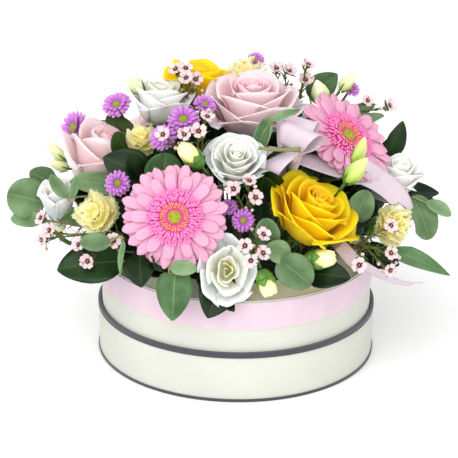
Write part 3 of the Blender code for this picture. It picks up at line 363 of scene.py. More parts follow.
class HATBOX_PG_petals(bpy.types.PropertyGroup):
    thickness: FloatProperty(name="Thickness", description="Thickness of a petal, in metres",
                             default=0.0004, min=0.0002, subtype="DISTANCE", unit="LENGTH")
    yellow: colour_property("Yellow", "Yellow rose petals", 255, 208, 0)
    # Deeper orange at the petals' foot, and painted shade in the depths of the blooms
    yellow_foot: colour_property("Yellow foot", "Depths of the yellow roses", 250, 158, 0)
    blush: colour_property("Blush", "Pale pink rose petals", 244, 217, 220)
    # Pinker at the heart, and painted shade in the depths of the bloom
    blush_foot: colour_property("Blush foot", "Depths of the pale pink rose", 244, 152, 172)
    rosy: colour_property("Rosy", "Pink rose petals of the sides", 253, 222, 224)
    # Pinker at the petals' foot, and painted shade in the depths of the blooms
    rosy_foot: colour_property("Rosy foot", "Depths of the pink roses", 240, 146, 156)
    white: colour_property("White", "White rose petals", 253, 253, 249)
    # Creamy at the heart, and painted shade in the depths of the blooms
    white_foot: colour_property("White foot", "Depths of the white roses", 240, 240, 214)
    ivory: colour_property("Ivory", "Lisianthus petals", 253, 253, 252)
    # Greenish throat, and painted shade deep in the blooms
    ivory_foot: colour_property("Ivory foot", "Throat of the lisianthus", 206, 206, 140)
    gerbera: colour_property("Gerbera", "Gerbera petals", 238, 163, 192)
    gerbera_foot: colour_property("Gerbera foot", "Gerbera petals by the florets", 244, 132, 186)
    florets: colour_property("Florets", "Ring of small petals in a gerbera", 236, 52, 156)
    gold: colour_property("Gold", "Inner ring of a gerbera's disc", 226, 112, 118)
    eye: colour_property("Eye", "Green middle of a gerbera", 186, 182, 44)
    lemon: colour_property("Lemon", "Carnation petals", 255, 245, 158)
    # Deeper yellow low in the frills, and painted golden shade in their depths
    lemon_foot: colour_property("Lemon foot", "Depths of the carnations", 252, 214, 70)
    purple: colour_property("Purple", "Daisy petals", 210, 130, 216)
    purple_foot: colour_property("Purple foot", "Daisy petals by the eye", 160, 60, 168)
    daisy_eye: colour_property("Daisy eye", "Middle of a daisy", 172, 182, 36)
    wax: colour_property("Waxflower", "Waxflower petals", 228, 202, 205)
    wax_cup: colour_property("Waxflower cup", "Middle of a waxflower", 118, 38, 42)


class HATBOX_PG_greens(bpy.types.PropertyGroup):
    thickness: FloatProperty(name="Thickness", description="Thickness of a leaf, in metres",
                             default=0.0005, min=0.0002, subtype="DISTANCE", unit="LENGTH")
    glossy: colour_property("Glossy leaf", "Dark glossy leaves", 7, 25, 7)
    glossy_light: colour_property("Glossy light", "Light patches of the dark leaves", 28, 60, 16)
    veined: colour_property("Veined leaf", "Fresh green leaves", 50, 84, 44)
    veined_light: colour_property("Veined light", "Light patches of the fresh leaves", 96, 126, 86)
    grey: colour_property("Eucalyptus", "Grey-green leaves", 80, 108, 70)
    grey_light: colour_property("Eucalyptus bloom", "Pale bloom on the grey-green leaves", 128, 154, 114)
    olive: colour_property("Olive leaf", "Olive green leaves", 48, 64, 26)
    stem: colour_property("Stem", "Flower stems", 84, 122, 48)
    cup: colour_property("Bud cup", "Green cup of a carnation bud", 104, 160, 40)
    bud: colour_property("Bud", "Furled lisianthus bud", 226, 234, 150)
    bud_foot: colour_property("Bud foot", "Foot of a lisianthus bud", 150, 188, 60)
    twig: colour_property("Twig", "Waxflower twigs", 104, 112, 54)


class HATBOX_PG_stage(bpy.types.PropertyGroup):
    floor: colour_property("Floor", "Pale floor", 253, 253, 253)
    key: FloatProperty(name="Key light", description="Strength of the soft light from the front left",
                       default=1.55, min=0)
    fill: FloatProperty(name="Fill light", description="Strength of the soft light from the front right",
                        default=0.85, min=0)
    sky: FloatProperty(name="Sky", description="Strength of the light from all round", default=0.92,
                       min=0)


class HATBOX_PG_settings(bpy.types.PropertyGroup):
    box: PointerProperty(type=HATBOX_PG_box)
    petals: PointerProperty(type=HATBOX_PG_petals)
    greens: PointerProperty(type=HATBOX_PG_greens)
    stage: PointerProperty(type=HATBOX_PG_stage)


# Finishes

# Places of sockets: the two colours and the result of a Mix node, the object coordinates of a Texture
# Coordinate node, and the number that an Attribute node reads
COLOUR_A, COLOUR_B, MIXED_COLOUR = 6, 7, 2
OBJECT_PLACE = 3
FACTOR = 2


class Wire:
    """A socket of a shader that sums can be written with."""

    def __init__(self, finish, socket):
        self.finish = finish
        self.socket = socket

    def __add__(self, other):
        return self.finish.maths("ADD", self, other)

    def __radd__(self, other):
        return self.finish.maths("ADD", other, self)

    def __sub__(self, other):
        return self.finish.maths("SUBTRACT", self, other)

    def __rsub__(self, other):
        return self.finish.maths("SUBTRACT", other, self)

    def __mul__(self, other):
        return self.finish.maths("MULTIPLY", self, other)

    def __rmul__(self, other):
        return self.finish.maths("MULTIPLY", other, self)

    def __truediv__(self, other):
        return self.finish.maths("DIVIDE", self, other)

    def __abs__(self):
        return self.finish.maths("ABSOLUTE", self)

    def sine(self):
        return self.finish.maths("SINE", self)

    def held(self):
        """The value kept between 0 and 1."""
        return self.finish.node("ShaderNodeClamp", {}, {"Value": self})


class Finish:
    """A material and the nodes that it is made of."""

    def __init__(self, name, **constants):
        self.material = bpy.data.materials.new(name)
        self.material.use_nodes = True
        self.tree = self.material.node_tree
        self.shader = self.tree.nodes["Principled BSDF"]
        for socket, value in constants.items():
            self.shader.inputs[socket.replace("_", " ")].default_value = value

    def node(self, kind, settings, inputs, output=0):
        """A node of a kind, its settings and the values or links of its sockets, as a Wire."""
        made = self.tree.nodes.new(kind)
        for name, value in settings.items():
            setattr(made, name, value)
        for socket, value in inputs.items():
            if isinstance(value, Wire):
                self.tree.links.new(value.socket, made.inputs[socket])
            else:
                made.inputs[socket].default_value = value
        return Wire(self, made.outputs[output])

    def maths(self, operation, first, second=0.0):
        return self.node("ShaderNodeMath", {"operation": operation}, {0: first, 1: second})

    def mixed(self, factor, first, second):
        """From the first colour to the second as the factor goes from 0 to 1."""
        full = {COLOUR_A: first if isinstance(first, Wire) else (*first, 1),
                COLOUR_B: second if isinstance(second, Wire) else (*second, 1)}
        return self.node("ShaderNodeMix", {"data_type": "RGBA"}, {0: factor, **full}, MIXED_COLOUR)

    def lit(self, colour, amount):
        """A colour made brighter or darker by an amount round 1."""
        return self.node("ShaderNodeVectorMath", {"operation": "SCALE"}, {0: colour, "Scale": amount})

    def noise(self, vector, scale, detail=2.0):
        return self.node("ShaderNodeTexNoise", {}, {"Vector": vector, "Scale": scale, "Detail": detail})

    def cells(self, vector, scale):
        return self.node("ShaderNodeTexVoronoi", {}, {"Vector": vector, "Scale": scale})

    def place(self):
        return self.node("ShaderNodeTexCoord", {}, {}, OBJECT_PLACE)

    def across_and_along(self):
        """The two coordinates over a petal, leaf or ribbon, each from 0 to 1."""
        uv = self.node("ShaderNodeUVMap", {"uv_map": "UVMap"}, {})
        parts = self.node("ShaderNodeSeparateXYZ", {}, {0: uv})
        return parts, Wire(self, parts.socket.node.outputs[1])

    def point(self, x, y, z=0.0):
        return self.node("ShaderNodeCombineXYZ", {}, {0: x, 1: y, 2: z})

    def tone(self):
        return self.node("ShaderNodeAttribute", {"attribute_name": "tone"}, {}, FACTOR)

    def colour(self, wire):
        self.tree.links.new(wire.socket, self.shader.inputs["Base Color"])

    def roughness(self, wire):
        self.tree.links.new(wire.socket, self.shader.inputs["Roughness"])

    def bump(self, height, strength, metres):
        wire = self.node("ShaderNodeBump", {}, {"Height": height, "Strength": strength,
                                                "Distance": metres})
        self.tree.links.new(wire.socket, self.shader.inputs["Normal"])


def once(make):
    """Makes the finish of each name once."""

    def kept(name, *values, **more):
        return bpy.data.materials.get(name) or make(name, *values, **more)

    return kept


@once
def petal_finish(name, rim, foot, veins, depth, soft, creases=0.0, heart=0.0):
    """A petal from its foot to its rim, with fine veins along it. Towards the foot it takes the foot
    colour, which is partly the petal's own deeper colour and partly painted shade in the depths of the
    bloom. The inner petals of a bloom, which have the lowest tones, take more of the colour of the foot
    and are a little darker: painted shade at the heart."""
    made = Finish(name, Roughness=0.55, Subsurface_Weight=soft, Subsurface_Scale=0.008,
                  Sheen_Weight=0.03, Specular_IOR_Level=0.3, Subsurface_Radius=(1.0, 0.7, 0.6))
    u, v = made.across_and_along()
    tone = made.tone()
    veins = made.noise(made.point(u * veins, v * 4.0, tone * 30.0), 1.0, 3.0)
    # Towards the foot: the petal's own deeper colour and painted shade in the depths of the bloom
    body = made.mixed((1.0 - v / depth).held() * 0.95, rim, foot)
    body = made.mixed((veins - 0.45).held() * 0.45, body, foot)
    if heart:
        body = made.mixed(((0.65 - tone) * heart).held(), body, foot)
    # Dark lines along the creases, towards the foot colour and fading to the tip: painted shade in the
    # creases
    if creases:
        lines = (abs((u * (3 * math.pi)).sine()) * -6.0 + 1.0).held()
        body = made.mixed(lines * (1.0 - v * 0.5) * creases, body, foot)
    patches = made.noise(made.place(), 55.0)
    # Lower tones come out a little darker: painted shade where the tone falls ring by ring, random tone
    # elsewhere
    made.colour(made.lit(body, 0.93 + tone * 0.10 + patches * 0.04))
    made.bump(veins, 0.35, 0.0004)
    return made.material


@once
def leaf_finish(name, deep, light, vein, roughness, coat, waxy=0.0):
    """A leaf with a midrib, side veins and patches of a lighter green."""
    made = Finish(name, Coat_Weight=coat, Coat_Roughness=0.22, Specular_IOR_Level=0.16)
    u, v = made.across_and_along()
    tone = made.tone()
    side = abs(u - 0.5) * 2.0
    rib = (1.0 - side * 22.0).held()
    wave = ((v - side * 0.22) * 44.0).sine()
    lines = (1.0 - abs(wave) * 7.0).held() * (1.0 - side).held()
    patches = made.noise(made.place(), 60.0, 4.0)
    grain = made.noise(made.place(), 900.0)
    body = made.mixed(((patches - 0.35) * 1.7 + tone * 0.5 - 0.25).held(), deep, light)
    body = made.mixed((side - 0.2).held() * waxy * (patches * 1.4).held(), body, light)
    body = made.mixed((rib * 0.5 + lines * 0.20).held(), body, vein)
    made.colour(made.lit(body, 0.80 + tone * 0.34 + grain * 0.08))
    made.roughness((roughness + grain * 0.16 - rib * 0.05).held())
    made.bump(rib * -0.7 - lines * 0.45 + grain * 0.12, 0.45, 0.0006)
    return made.material


@once
def green_finish(name, colour, other):
    """A stem, twig or calyx with streaks along it."""
    made = Finish(name, Roughness=0.5, Subsurface_Weight=0.05, Subsurface_Scale=0.002)
    u, v = made.across_and_along()
    streaks = made.noise(made.point(u * 14.0, v * 5.0, made.tone() * 20.0), 1.0, 3.0)
    made.colour(made.mixed((streaks * 1.6 - 0.3).held(), colour, other))
    made.bump(streaks, 0.3, 0.0004)
    return made.material


@once
def bud_finish(name, foot, tip, streak):
    """A bud that goes from one colour at its foot to another at its tip."""
    made = Finish(name, Roughness=0.45, Subsurface_Weight=0.12, Subsurface_Scale=0.003)
    u, v = made.across_and_along()
    streaks = made.noise(made.point(u * 30.0, v * 3.0, made.tone() * 20.0), 1.0, 3.0)
    body = made.mixed((v * 1.5 - 0.45 + streaks * 0.3).held(), foot, tip)
    made.colour(made.mixed((streaks - 0.5).held() * 0.9, body, streak))
    made.bump(streaks, 0.3, 0.0005)
    return made.material


def stem_finish(greens):
    """The finish that the stems of all the blooms share."""
    return green_finish("stem_green", greens.stem, greens.glossy_light)


def pale_bud_finish(greens):
    return bud_finish("pale_bud", shade(190, 208, 130), shade(240, 242, 214), greens.bud)


@once
def pebbled_finish(name, colour, other, scale, roughness=0.7):
    """A disc of many tiny round buds, or foam."""
    made = Finish(name, Roughness=roughness)
    buds = made.cells(made.place(), scale)
    patches = made.noise(made.place(), scale * 0.2)
    # Darker in the gaps between the buds or pores: painted shade, plus random patches
    made.colour(made.mixed((buds * 1.3 + patches * 0.4 - 0.3).held(), colour, other))
    made.bump(1.0 - buds, 0.8, 0.0007)
    return made.material


@once
def card_finish(name, colour, roughness, stain):
    """Paper-covered card with a faint fibre and slight clouds of tone."""
    made = Finish(name, Sheen_Weight=0.05)
    place = made.place()
    fibre = made.noise(place, 1500.0, 3.0)
    clouds = made.noise(place, 18.0, 3.0)
    body = made.mixed((clouds * 1.5 - 0.45).held() * 0.35, colour, stain)
    made.colour(made.lit(body, 0.985 + fibre * 0.03))
    made.roughness(roughness + fibre * 0.10)
    made.bump(fibre, 0.12, 0.0002)
    return made.material


@once
def trim_finish(name, colour):
    """A narrow woven strip with fine upright ribs."""
    made = Finish(name, Roughness=0.78, Sheen_Weight=0.25)
    u, _ = made.across_and_along()
    ribs = (u * 2.0 * math.pi * 700).sine() * 0.5 + 0.5
    lint = made.noise(made.place(), 700.0)
    # Darker between the ribs: painted shade; the lint is random
    made.colour(made.lit(made.mixed(lint * 0.4, colour, shade(96, 92, 102)), 0.75 + ribs * 0.35))
    made.bump(ribs, 0.5, 0.0003)
    return made.material


@once
def satin_finish(name, light, dark, lengthwise, ribs_along):
    """Satin ribbon with fine ribs across it. The ribbon's length is its u, or its v if lengthwise."""
    made = Finish(name, Sheen_Weight=0.3, Sheen_Roughness=0.35, Anisotropic=0.5)
    u, v = made.across_and_along()
    along, side = (v, u) if lengthwise else (u, v)
    ribs = (along * (math.tau * ribs_along)).sine() * 0.5 + 0.5
    drift = made.noise(made.point(along * (ribs_along * 0.08), side * 0.6), 1.0, 3.0)
    hem = (1.0 - (0.5 - abs(side - 0.5)) * 26.0).held()
    # Darker between the ribs: painted shade, along with random drift
    body = made.mixed((ribs * 0.38 + drift * 0.9 - 0.32).held(), dark, light)
    made.colour(made.mixed(hem * 0.35, body, light))
    made.roughness(0.36 + drift * 0.16)
    made.bump(ribs + hem * 1.2, 0.28, 0.0003)
    return made.material


# Shapes. Each is made in millimetres.


def towards(azimuth, rise):
    """The unit vector of a direction in degrees."""
    a = math.radians(azimuth)
    e = math.radians(rise)
    return Vector((math.sin(a) * math.cos(e), -math.cos(a) * math.cos(e), math.sin(e)))


def at_angle(radius, angle, height):
    """The local point at a radius, an angle in radians and a height."""
    return Vector((radius * math.cos(angle), radius * math.sin(angle), height))


def swung(matrix, turn, local):
    """The place of a local point after a turn about the local axis."""
    return matrix @ (Matrix.Rotation(turn, 4, "Z") @ local)


def placed(middle, axis, turn=0.0):
    """The matrix that stands local +Z along axis at middle, with local +X level."""
    side = Vector((0, 0, 1)).cross(axis)
    side = side.normalized() if side.length > 1e-3 else Vector((1, 0, 0))
    basis = Matrix((side, axis.cross(side), axis)).transposed().to_4x4()
    return Matrix.Translation(middle) @ basis @ Matrix.Rotation(math.radians(turn), 4, "Z")


def between(low, high, value):
    """How far the value is from low to high, kept between 0 and 1."""
    return max(0.0, min(1.0, (value - low) / (high - low)))


def curved(points, steps):
    """A smooth line through the points, with steps pieces between each two."""
    points = [Vector(p) for p in points]
    ends = [points[0] * 2 - points[1]] + points + [points[-1] * 2 - points[-2]]
    line = []
    for a, b, c, d in zip(ends, ends[1:], ends[2:], ends[3:]):
        for i in range(steps):
            t = i / steps
            line.append(0.5 * (b * 2 + (c - a) * t + (a * 2 - b * 5 + c * 4 - d) * t**2
                               + (b * 3 - a - c * 3 + d) * t**3))
    return line + [points[-1]]


class Shape:
    """A mesh in the making, with a UV map and a tone that varies its colour."""

    def __init__(self):
        self.mesh = bmesh.new()
        self.mesh.loops.layers.uv.new("UVMap")
        self.tones = self.mesh.verts.layers.float.new("tone")

    def grid(self, point, across, along, tone, slot):
        """A grid moved to point(u, v), with u from -1 to 1 and v from 0 to 1."""
        made = bmesh.ops.create_grid(self.mesh, x_segments=across, y_segments=along, size=1.0,
                                     calc_uvs=True)
        faces = list(dict.fromkeys(face for vert in made["verts"] for face in vert.link_faces))
        for vert in made["verts"]:
            vert[self.tones] = tone
            vert.co = point(vert.co.x, (vert.co.y + 1) / 2)
        for face in faces:
            face.material_index = slot
            face.smooth = True
            face.normal_update()
        for vert in made["verts"]:
            vert.normal_update()
        return made["verts"], faces

    def blade(self, point, across, along, thick, tone=0.5, slot=0):
        """A thin closed sheet, such as a petal."""
        self.thicken(self.grid(point, across, along, tone, slot)[1], thick)

    def thicken(self, faces, thick):
        """The sheet's faces closed into a thin solid by a copy moved along their normals."""
        made = bmesh.ops.extrude_face_region(self.mesh, geom=faces)
        for vert in made["geom"]:
            if isinstance(vert, bmesh.types.BMVert):
                vert.co += vert.normal * thick

    def tube(self, line, radius, sides, slot=0):
        """A closed round bar along the line, from its foot up. The radius is one value or a function."""
        line = [Vector(p) for p in line]
        size = radius if callable(radius) else lambda t: radius
        rings = []
        side = (line[1] - line[0]).orthogonal().normalized()
        for i, p in enumerate(line):
            up = (line[min(i + 1, len(line) - 1)] - line[max(i - 1, 0)]).normalized()
            side = (side - up * side.dot(up)).normalized()
            rings.append((p, side.copy(), up.cross(side), size(i / (len(line) - 1))))
        rings = [(*rings[0][:3], 0.0), *rings, (*rings[-1][:3], 0.0)]

        def point(u, v):
            p, x, y, r = rings[round(v * (len(rings) - 1))]
            a = math.pi * (u + 1)
            return p + (x * math.cos(a) + y * math.sin(a)) * r

        self.closed(point, sides, len(rings) - 1, 0.5, slot)

    def closed(self, point, across, along, tone, slot):
        """A grid whose two sides, and the points of each end, are joined."""
        verts, _ = self.grid(point, across, along, tone, slot)
        bmesh.ops.remove_doubles(self.mesh, verts=verts, dist=MERGED)

    def turned(self, matrix, profile, sides, slot=0, tone=0.5, size=(1, 1), lobes=None):
        """A closed round solid. The (radius, height) profile runs up its outer side, in units of the
        two sizes. Lobes is a function of the angle that scales the radius."""

        def point(u, v):
            r, z = profile[round(v * (len(profile) - 1))]
            a = math.pi * (u + 1)
            r *= size[0]
            r *= lobes(a, v) if lobes else 1.0
            return matrix @ at_angle(r, a, z * size[1])

        self.closed(point, sides, len(profile) - 1, tone, slot)

    def spun(self, profile, steps=144):
        """A solid of revolution round the box's axis. The closed profile runs up its outer side."""
        verts = [self.mesh.verts.new((r, 0, z)) for r, z in profile]
        edges = [self.mesh.edges.new((verts[i - 1], verts[i])) for i in range(len(verts))
                 if i or profile[0][0] > 0]
        bmesh.ops.spin(self.mesh, geom=verts + edges, cent=(0, 0, 0), axis=(0, 0, 1),
                       angle=math.tau, steps=steps, use_merge=True)
        bmesh.ops.remove_doubles(self.mesh, verts=self.mesh.verts[:], dist=2 * MERGED)
        bmesh.ops.recalc_face_normals(self.mesh, faces=self.mesh.faces[:])

    def finish(self, name, finishes, slot, stands_for=(), flat_sides=None):
        """The object made of the mesh, riding on the frame in place of the nodes it stands for."""
        bmesh.ops.scale(self.mesh, vec=(MM, MM, MM), verts=self.mesh.verts[:])
        data = bpy.data.meshes.new(name)
        self.mesh.to_mesh(data)
        self.mesh.free()
        data.shade_smooth()
        if flat_sides:
            data.set_sharp_from_angle(angle=math.radians(flat_sides))
        for one in finishes:
            data.materials.append(one)
        piece = bpy.data.objects.new(name, data)
        bpy.context.scene.collection.objects.link(piece)
        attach(piece, ROOT)
        if stands_for:
            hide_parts(*stands_for)
        return piece


# What the leaves and ribbons keep clear of


def bloom_bars():
    """The heads of the roses and carnations as bars: two ends and a radius."""
    bars = []
    for _, _, at, facing, radius, depth, _, _, _ in ROSES:
        middle, axis = Vector(at), towards(*facing)
        bars.append((middle - axis * 0.3 * radius, middle - axis * 0.4 * depth, radius * 0.94))
    for _, at, facing, radius in CARNATIONS:
        axis = towards(*facing)
        low = Vector(at) - axis * 0.8 * radius
        bars.append((low, low + axis * 0.5 * radius, radius * 0.95))
    return bars


def gerbera_discs():
    """The gerberas as flat discs: middle, axis, radius and half thickness."""
    return [(Vector(at) - towards(*facing) * 1.5, towards(*facing), radius, 6.5)
            for _, at, facing, radius in GERBERAS]


BARS = bloom_bars()
DISCS = gerbera_discs()


def cleared(point, room=1.1):
    """The point moved out of the blooms."""
    point = Vector(point)
    for start, end, radius in BARS:
        along = end - start
        t = between(0, along.length_squared, (point - start).dot(along))
        away = point - (start + along * t)
        if away.length < radius + room:
            point = start + along * t + away.normalized() * (radius + room)
    for middle, axis, radius, half in DISCS:
        high = (point - middle).dot(axis)
        flat = point - middle - axis * high
        if abs(high) < half + room and flat.length < radius + room:
            if radius - flat.length < half - abs(high):
                point += flat.normalized() * (radius + room - flat.length)
            else:
                point += axis * math.copysign(half + room - abs(high), high)
    return point


def foot_of(name):
    """The lowest point of a CAD node's stem, in millimetres."""
    points = [v.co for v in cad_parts[name].data.vertices if v.co.xy.length < FOAM_RADIUS * MM]
    low = min(p.z for p in points)
    near = [p for p in points if p.z < low + FOOT_SLICE]
    return sum((Vector(p) for p in near), Vector()) / len(near) / MM


def stem_line(name, start, out_of, steps=10):
    """The line of a stem from its foot in the foam up to start, which it reaches along out_of."""
    foot = foot_of(name)
    up = (foot - STEM_HEART).normalized()
    mouth = foot + up * ((FOAM_TOP + 3 - foot.z) / up.z)
    start = Vector(start)
    reach = (start - mouth).length
    bend = start + out_of * 0.4 * reach
    knee = mouth + up * 0.25 * reach
    line = [foot]
    for i in range(steps + 1):
        t = 1 - i / steps
        s = 1 - t
        line.append(start * s**3 + bend * 3 * s * s * t + knee * 3 * s * t * t + mouth * t**3)
    return line


# Roses and lisianthus


def cup_petal(matrix, turn, layer, size, draw, kind):
    """The surface of one petal of a cupped bloom. One edge lies inside its neighbour, and the rim
    rolls back more at its sides, which leaves a soft point in the middle."""
    _, foot, low, rim, high, spread, flare, roll = layer
    ruffle = RUFFLE[kind]
    radius, depth = size
    top = high * draw.uniform(0.97, 1.03)
    phase = draw.uniform(0, MAX_PHASE)
    lean = draw.uniform(-0.02, 0.04)
    peak = draw.uniform(0.2, 1.0) * PEAK[kind] * between(0.35, 0.7, rim)
    shift = draw.uniform(-0.25, 0.25)

    def point(u, v):
        swell = math.sin(v * math.pi / 2)
        lip = between(0.5, 1.0, v)
        edge = between(0.70, 1.0, v)
        side = min(1.0, abs(u - shift))
        back = roll * (0.45 + 0.85 * side**1.4)
        r = (foot + (rim - foot) * swell) * (1 + 0.07 * u) + (flare + lean) * lip * lip
        r += back * edge**1.7 + peak * lip**2 * (1 - side) ** 1.4
        r += ruffle * (math.sin(3.6 * u + phase) * v * v + 0.5 * math.sin(8 * u + phase) * lip)
        z = low + (top - low) * (1 - math.cos(v * math.pi / 2))
        z -= (0.10 * top * side**2.2 + 0.4 * abs(flare)) * lip
        z += 0.7 * peak * lip * (1 - side) ** 1.4 - 0.9 * back * edge**2.2
        z += ruffle * 0.5 * math.cos(5 * u + phase * 2) * lip
        a = math.radians(turn + spread * u * (0.62 + 0.38 * swell))
        return matrix @ at_angle(r * radius, a, z * depth)

    return point


def furled_heart(shape, matrix, size, thick, turn, rolls=2.4):
    """The spiral of the innermost petals."""

    def point(u, v):
        s = (u + 1) / 2
        a = math.radians(turn) + s * rolls * math.tau
        edge = between(0.7, 1.0, v)
        r = (0.025 + 0.165 * s) * (0.8 + 0.2 * v) + 0.025 * edge**2
        z = 0.30 + (0.70 - 0.05 * s) * v - 0.02 * edge**3 + 0.012 * math.sin(a * 1.5)
        return matrix @ at_angle(r * size[0], a, z * size[1])

    # The lowest tone: the heart takes the foot colour, partly its own deeper colour and partly painted
    # shade
    shape.blade(point, 44, 5, thick, 0.1)
    pad = [(0, 0.05), (0.16, 0.08), (0.22, 0.30), (0.16, 0.48), (0, 0.50)]
    shape.turned(matrix, pad, 10, tone=0.2, size=size)


def throat(shape, matrix, size, thick, turn):
    """The loose curl of small petals deep in a lisianthus."""
    for k, (reach, high) in enumerate(((0.08, 0.62), (0.15, 0.70), (0.21, 0.66))):

        def point(u, v, k=k, reach=reach, high=high):
            a = math.radians(turn + 137 * k + 84 * u)
            r = reach * (0.6 + 0.4 * v) * (1 + 0.15 * u)
            r += 0.05 * between(0.6, 1, v) * math.cos(5 * u + k)
            z = 0.22 + (high - 0.22) * v - 0.05 * abs(u) * v + 0.02 * math.sin(7 * u + k)
            return matrix @ at_angle(r * size[0], a, z * size[1])

        shape.blade(point, 12, 5, thick, 0.3, MIDDLE)


def calyx(shape, base, axis, size, slot, hang=0.75):
    """The green cup under a bloom with its five pointed sepals."""
    matrix = placed(base, axis)
    cup = [(0, -1.35), (0.3, -1.3), (0.56, -1.0), (0.52, -0.55), (0.66, -0.2), (0.3, 0.05), (0, 0.05)]
    shape.turned(matrix, cup, 10, slot, size=(size, size))
    for k in range(5):
        turn = math.radians(72 * k + 20)

        def point(u, v, turn=turn):
            half = 0.34 * size * (1 - v**1.6) * (0.7 + 0.8 * v * (1 - v)) + 0.02
            out = size * (0.35 + 1.25 * math.sin(v * 1.4))
            z = size * (-0.25 + 0.25 * v - hang * v * v)
            return swung(matrix, turn, Vector((out, u * half, z - 0.25 * abs(u) * half)))

        shape.blade(point, 2, 6, 0.5, 0.6, slot)


def build_roses(look):
    petals = look.petals
    thick = petals.thickness / MM
    stem = stem_finish(look.greens)
    slots = {"yellow": "yellow_petals", "blush": "blush_petals", "rosy": "blush_petals"}
    for seed, (name, colour, at, facing, radius, depth, kind, turn, opens) in enumerate(ROSES):
        draw = random.Random(SEEDS["rose"] + seed)
        axis = towards(*opens)
        under = Vector(at) - towards(*facing) * 0.40 * depth - axis * 0.45 * depth
        matrix = placed(under, axis)
        size = (radius, depth)
        shape = Shape()
        finishes = [petal_finish(f"{colour}_petal", getattr(petals, colour),
                                 getattr(petals, f"{colour}_foot"), 46.0, 0.6, 0.65, heart=1.1)]
        if kind == "ruffled":
            # The throat goes to the greenish foot colour: partly its own green, partly painted shade
            # deep in the bloom
            finishes.append(bud_finish("throat", petals.ivory_foot, shade(238, 232, 176), petals.ivory))
            matrix = matrix @ Matrix.Diagonal((0.80, 1.02, 1.0, 1.0))
            throat(shape, matrix, size, thick, turn)
            pad = [(0, -0.08), (0.30, -0.02), (0.34, 0.12), (0.2, 0.24), (0, 0.26)]
        else:
            furled_heart(shape, matrix, size, thick, turn)
            pad = [(0, -0.08), (0.36, 0.02), (0.38, 0.14), (0.2, 0.3), (0, 0.3)]
        shape.turned(matrix, pad, 12, tone=0.2, size=size)
        around = turn
        for ring, layer in enumerate(LAYERS[kind]):
            count = layer[0]
            around += 180 / count + draw.uniform(-6, 6)
            # Inner rings get low tones, so more foot colour and a little darker: painted shade towards
            # the heart
            tone = 0.2 + 0.55 * ring / (len(LAYERS[kind]) - 1)
            for i in range(count):
                angle = around + 360 * i / count + draw.uniform(-5, 5)
                petal = cup_petal(matrix, angle, layer, size, draw, kind)
                shape.blade(petal, 9, 9, thick, tone + draw.uniform(-0.1, 0.15))
        apart = name in TWO_PARTS
        green, where, carrier = (Shape(), 0, f"{name}_stem") if apart else (shape, len(finishes), name)
        foot = under - axis * 0.08 * depth
        calyx(green, foot, axis, 6.5 if radius > 20 else 4.5, where)
        out_of = -(axis + towards(*facing)).normalized()
        green.tube(stem_line(carrier, foot - axis * 6, out_of), *STEMS["rose"], where)
        if apart:
            green.finish(f"{name}_calyx", [stem], "stem", [carrier])
        else:
            finishes.append(stem)
        shape.finish(f"{name}_bloom", finishes, slots.get(colour, "white_petals"), [name])


# Gerberas


def strap_petal(matrix, turn, start, end, half, low, rise, arch, twist=0.0, notch=0.05):
    """The surface of a long petal that lies outward from the middle of a daisy-like bloom. Its tip
    is blunt and slightly notched, and two creases run along it."""

    def point(u, v):
        t = 1 - (1 - v) ** 1.6
        tip = between(0.74, 1.0, t)
        wide = half * (0.50 + 0.50 * math.sin(between(0.0, 0.72, t) * math.pi / 2))
        wide *= math.sqrt(1 - 0.88 * tip**2.5)
        out = start + (end - start) * (t - (0.05 * u * u + notch * (1 - u * u) ** 3) * tip)
        z = low + rise * t + arch * math.sin(t * math.pi * 0.85) - 0.16 * wide * u * u
        z += 0.08 * wide * math.cos(u * 3 * math.pi) + twist * u * t
        return swung(matrix, turn, Vector((out, u * wide, z)))

    return point


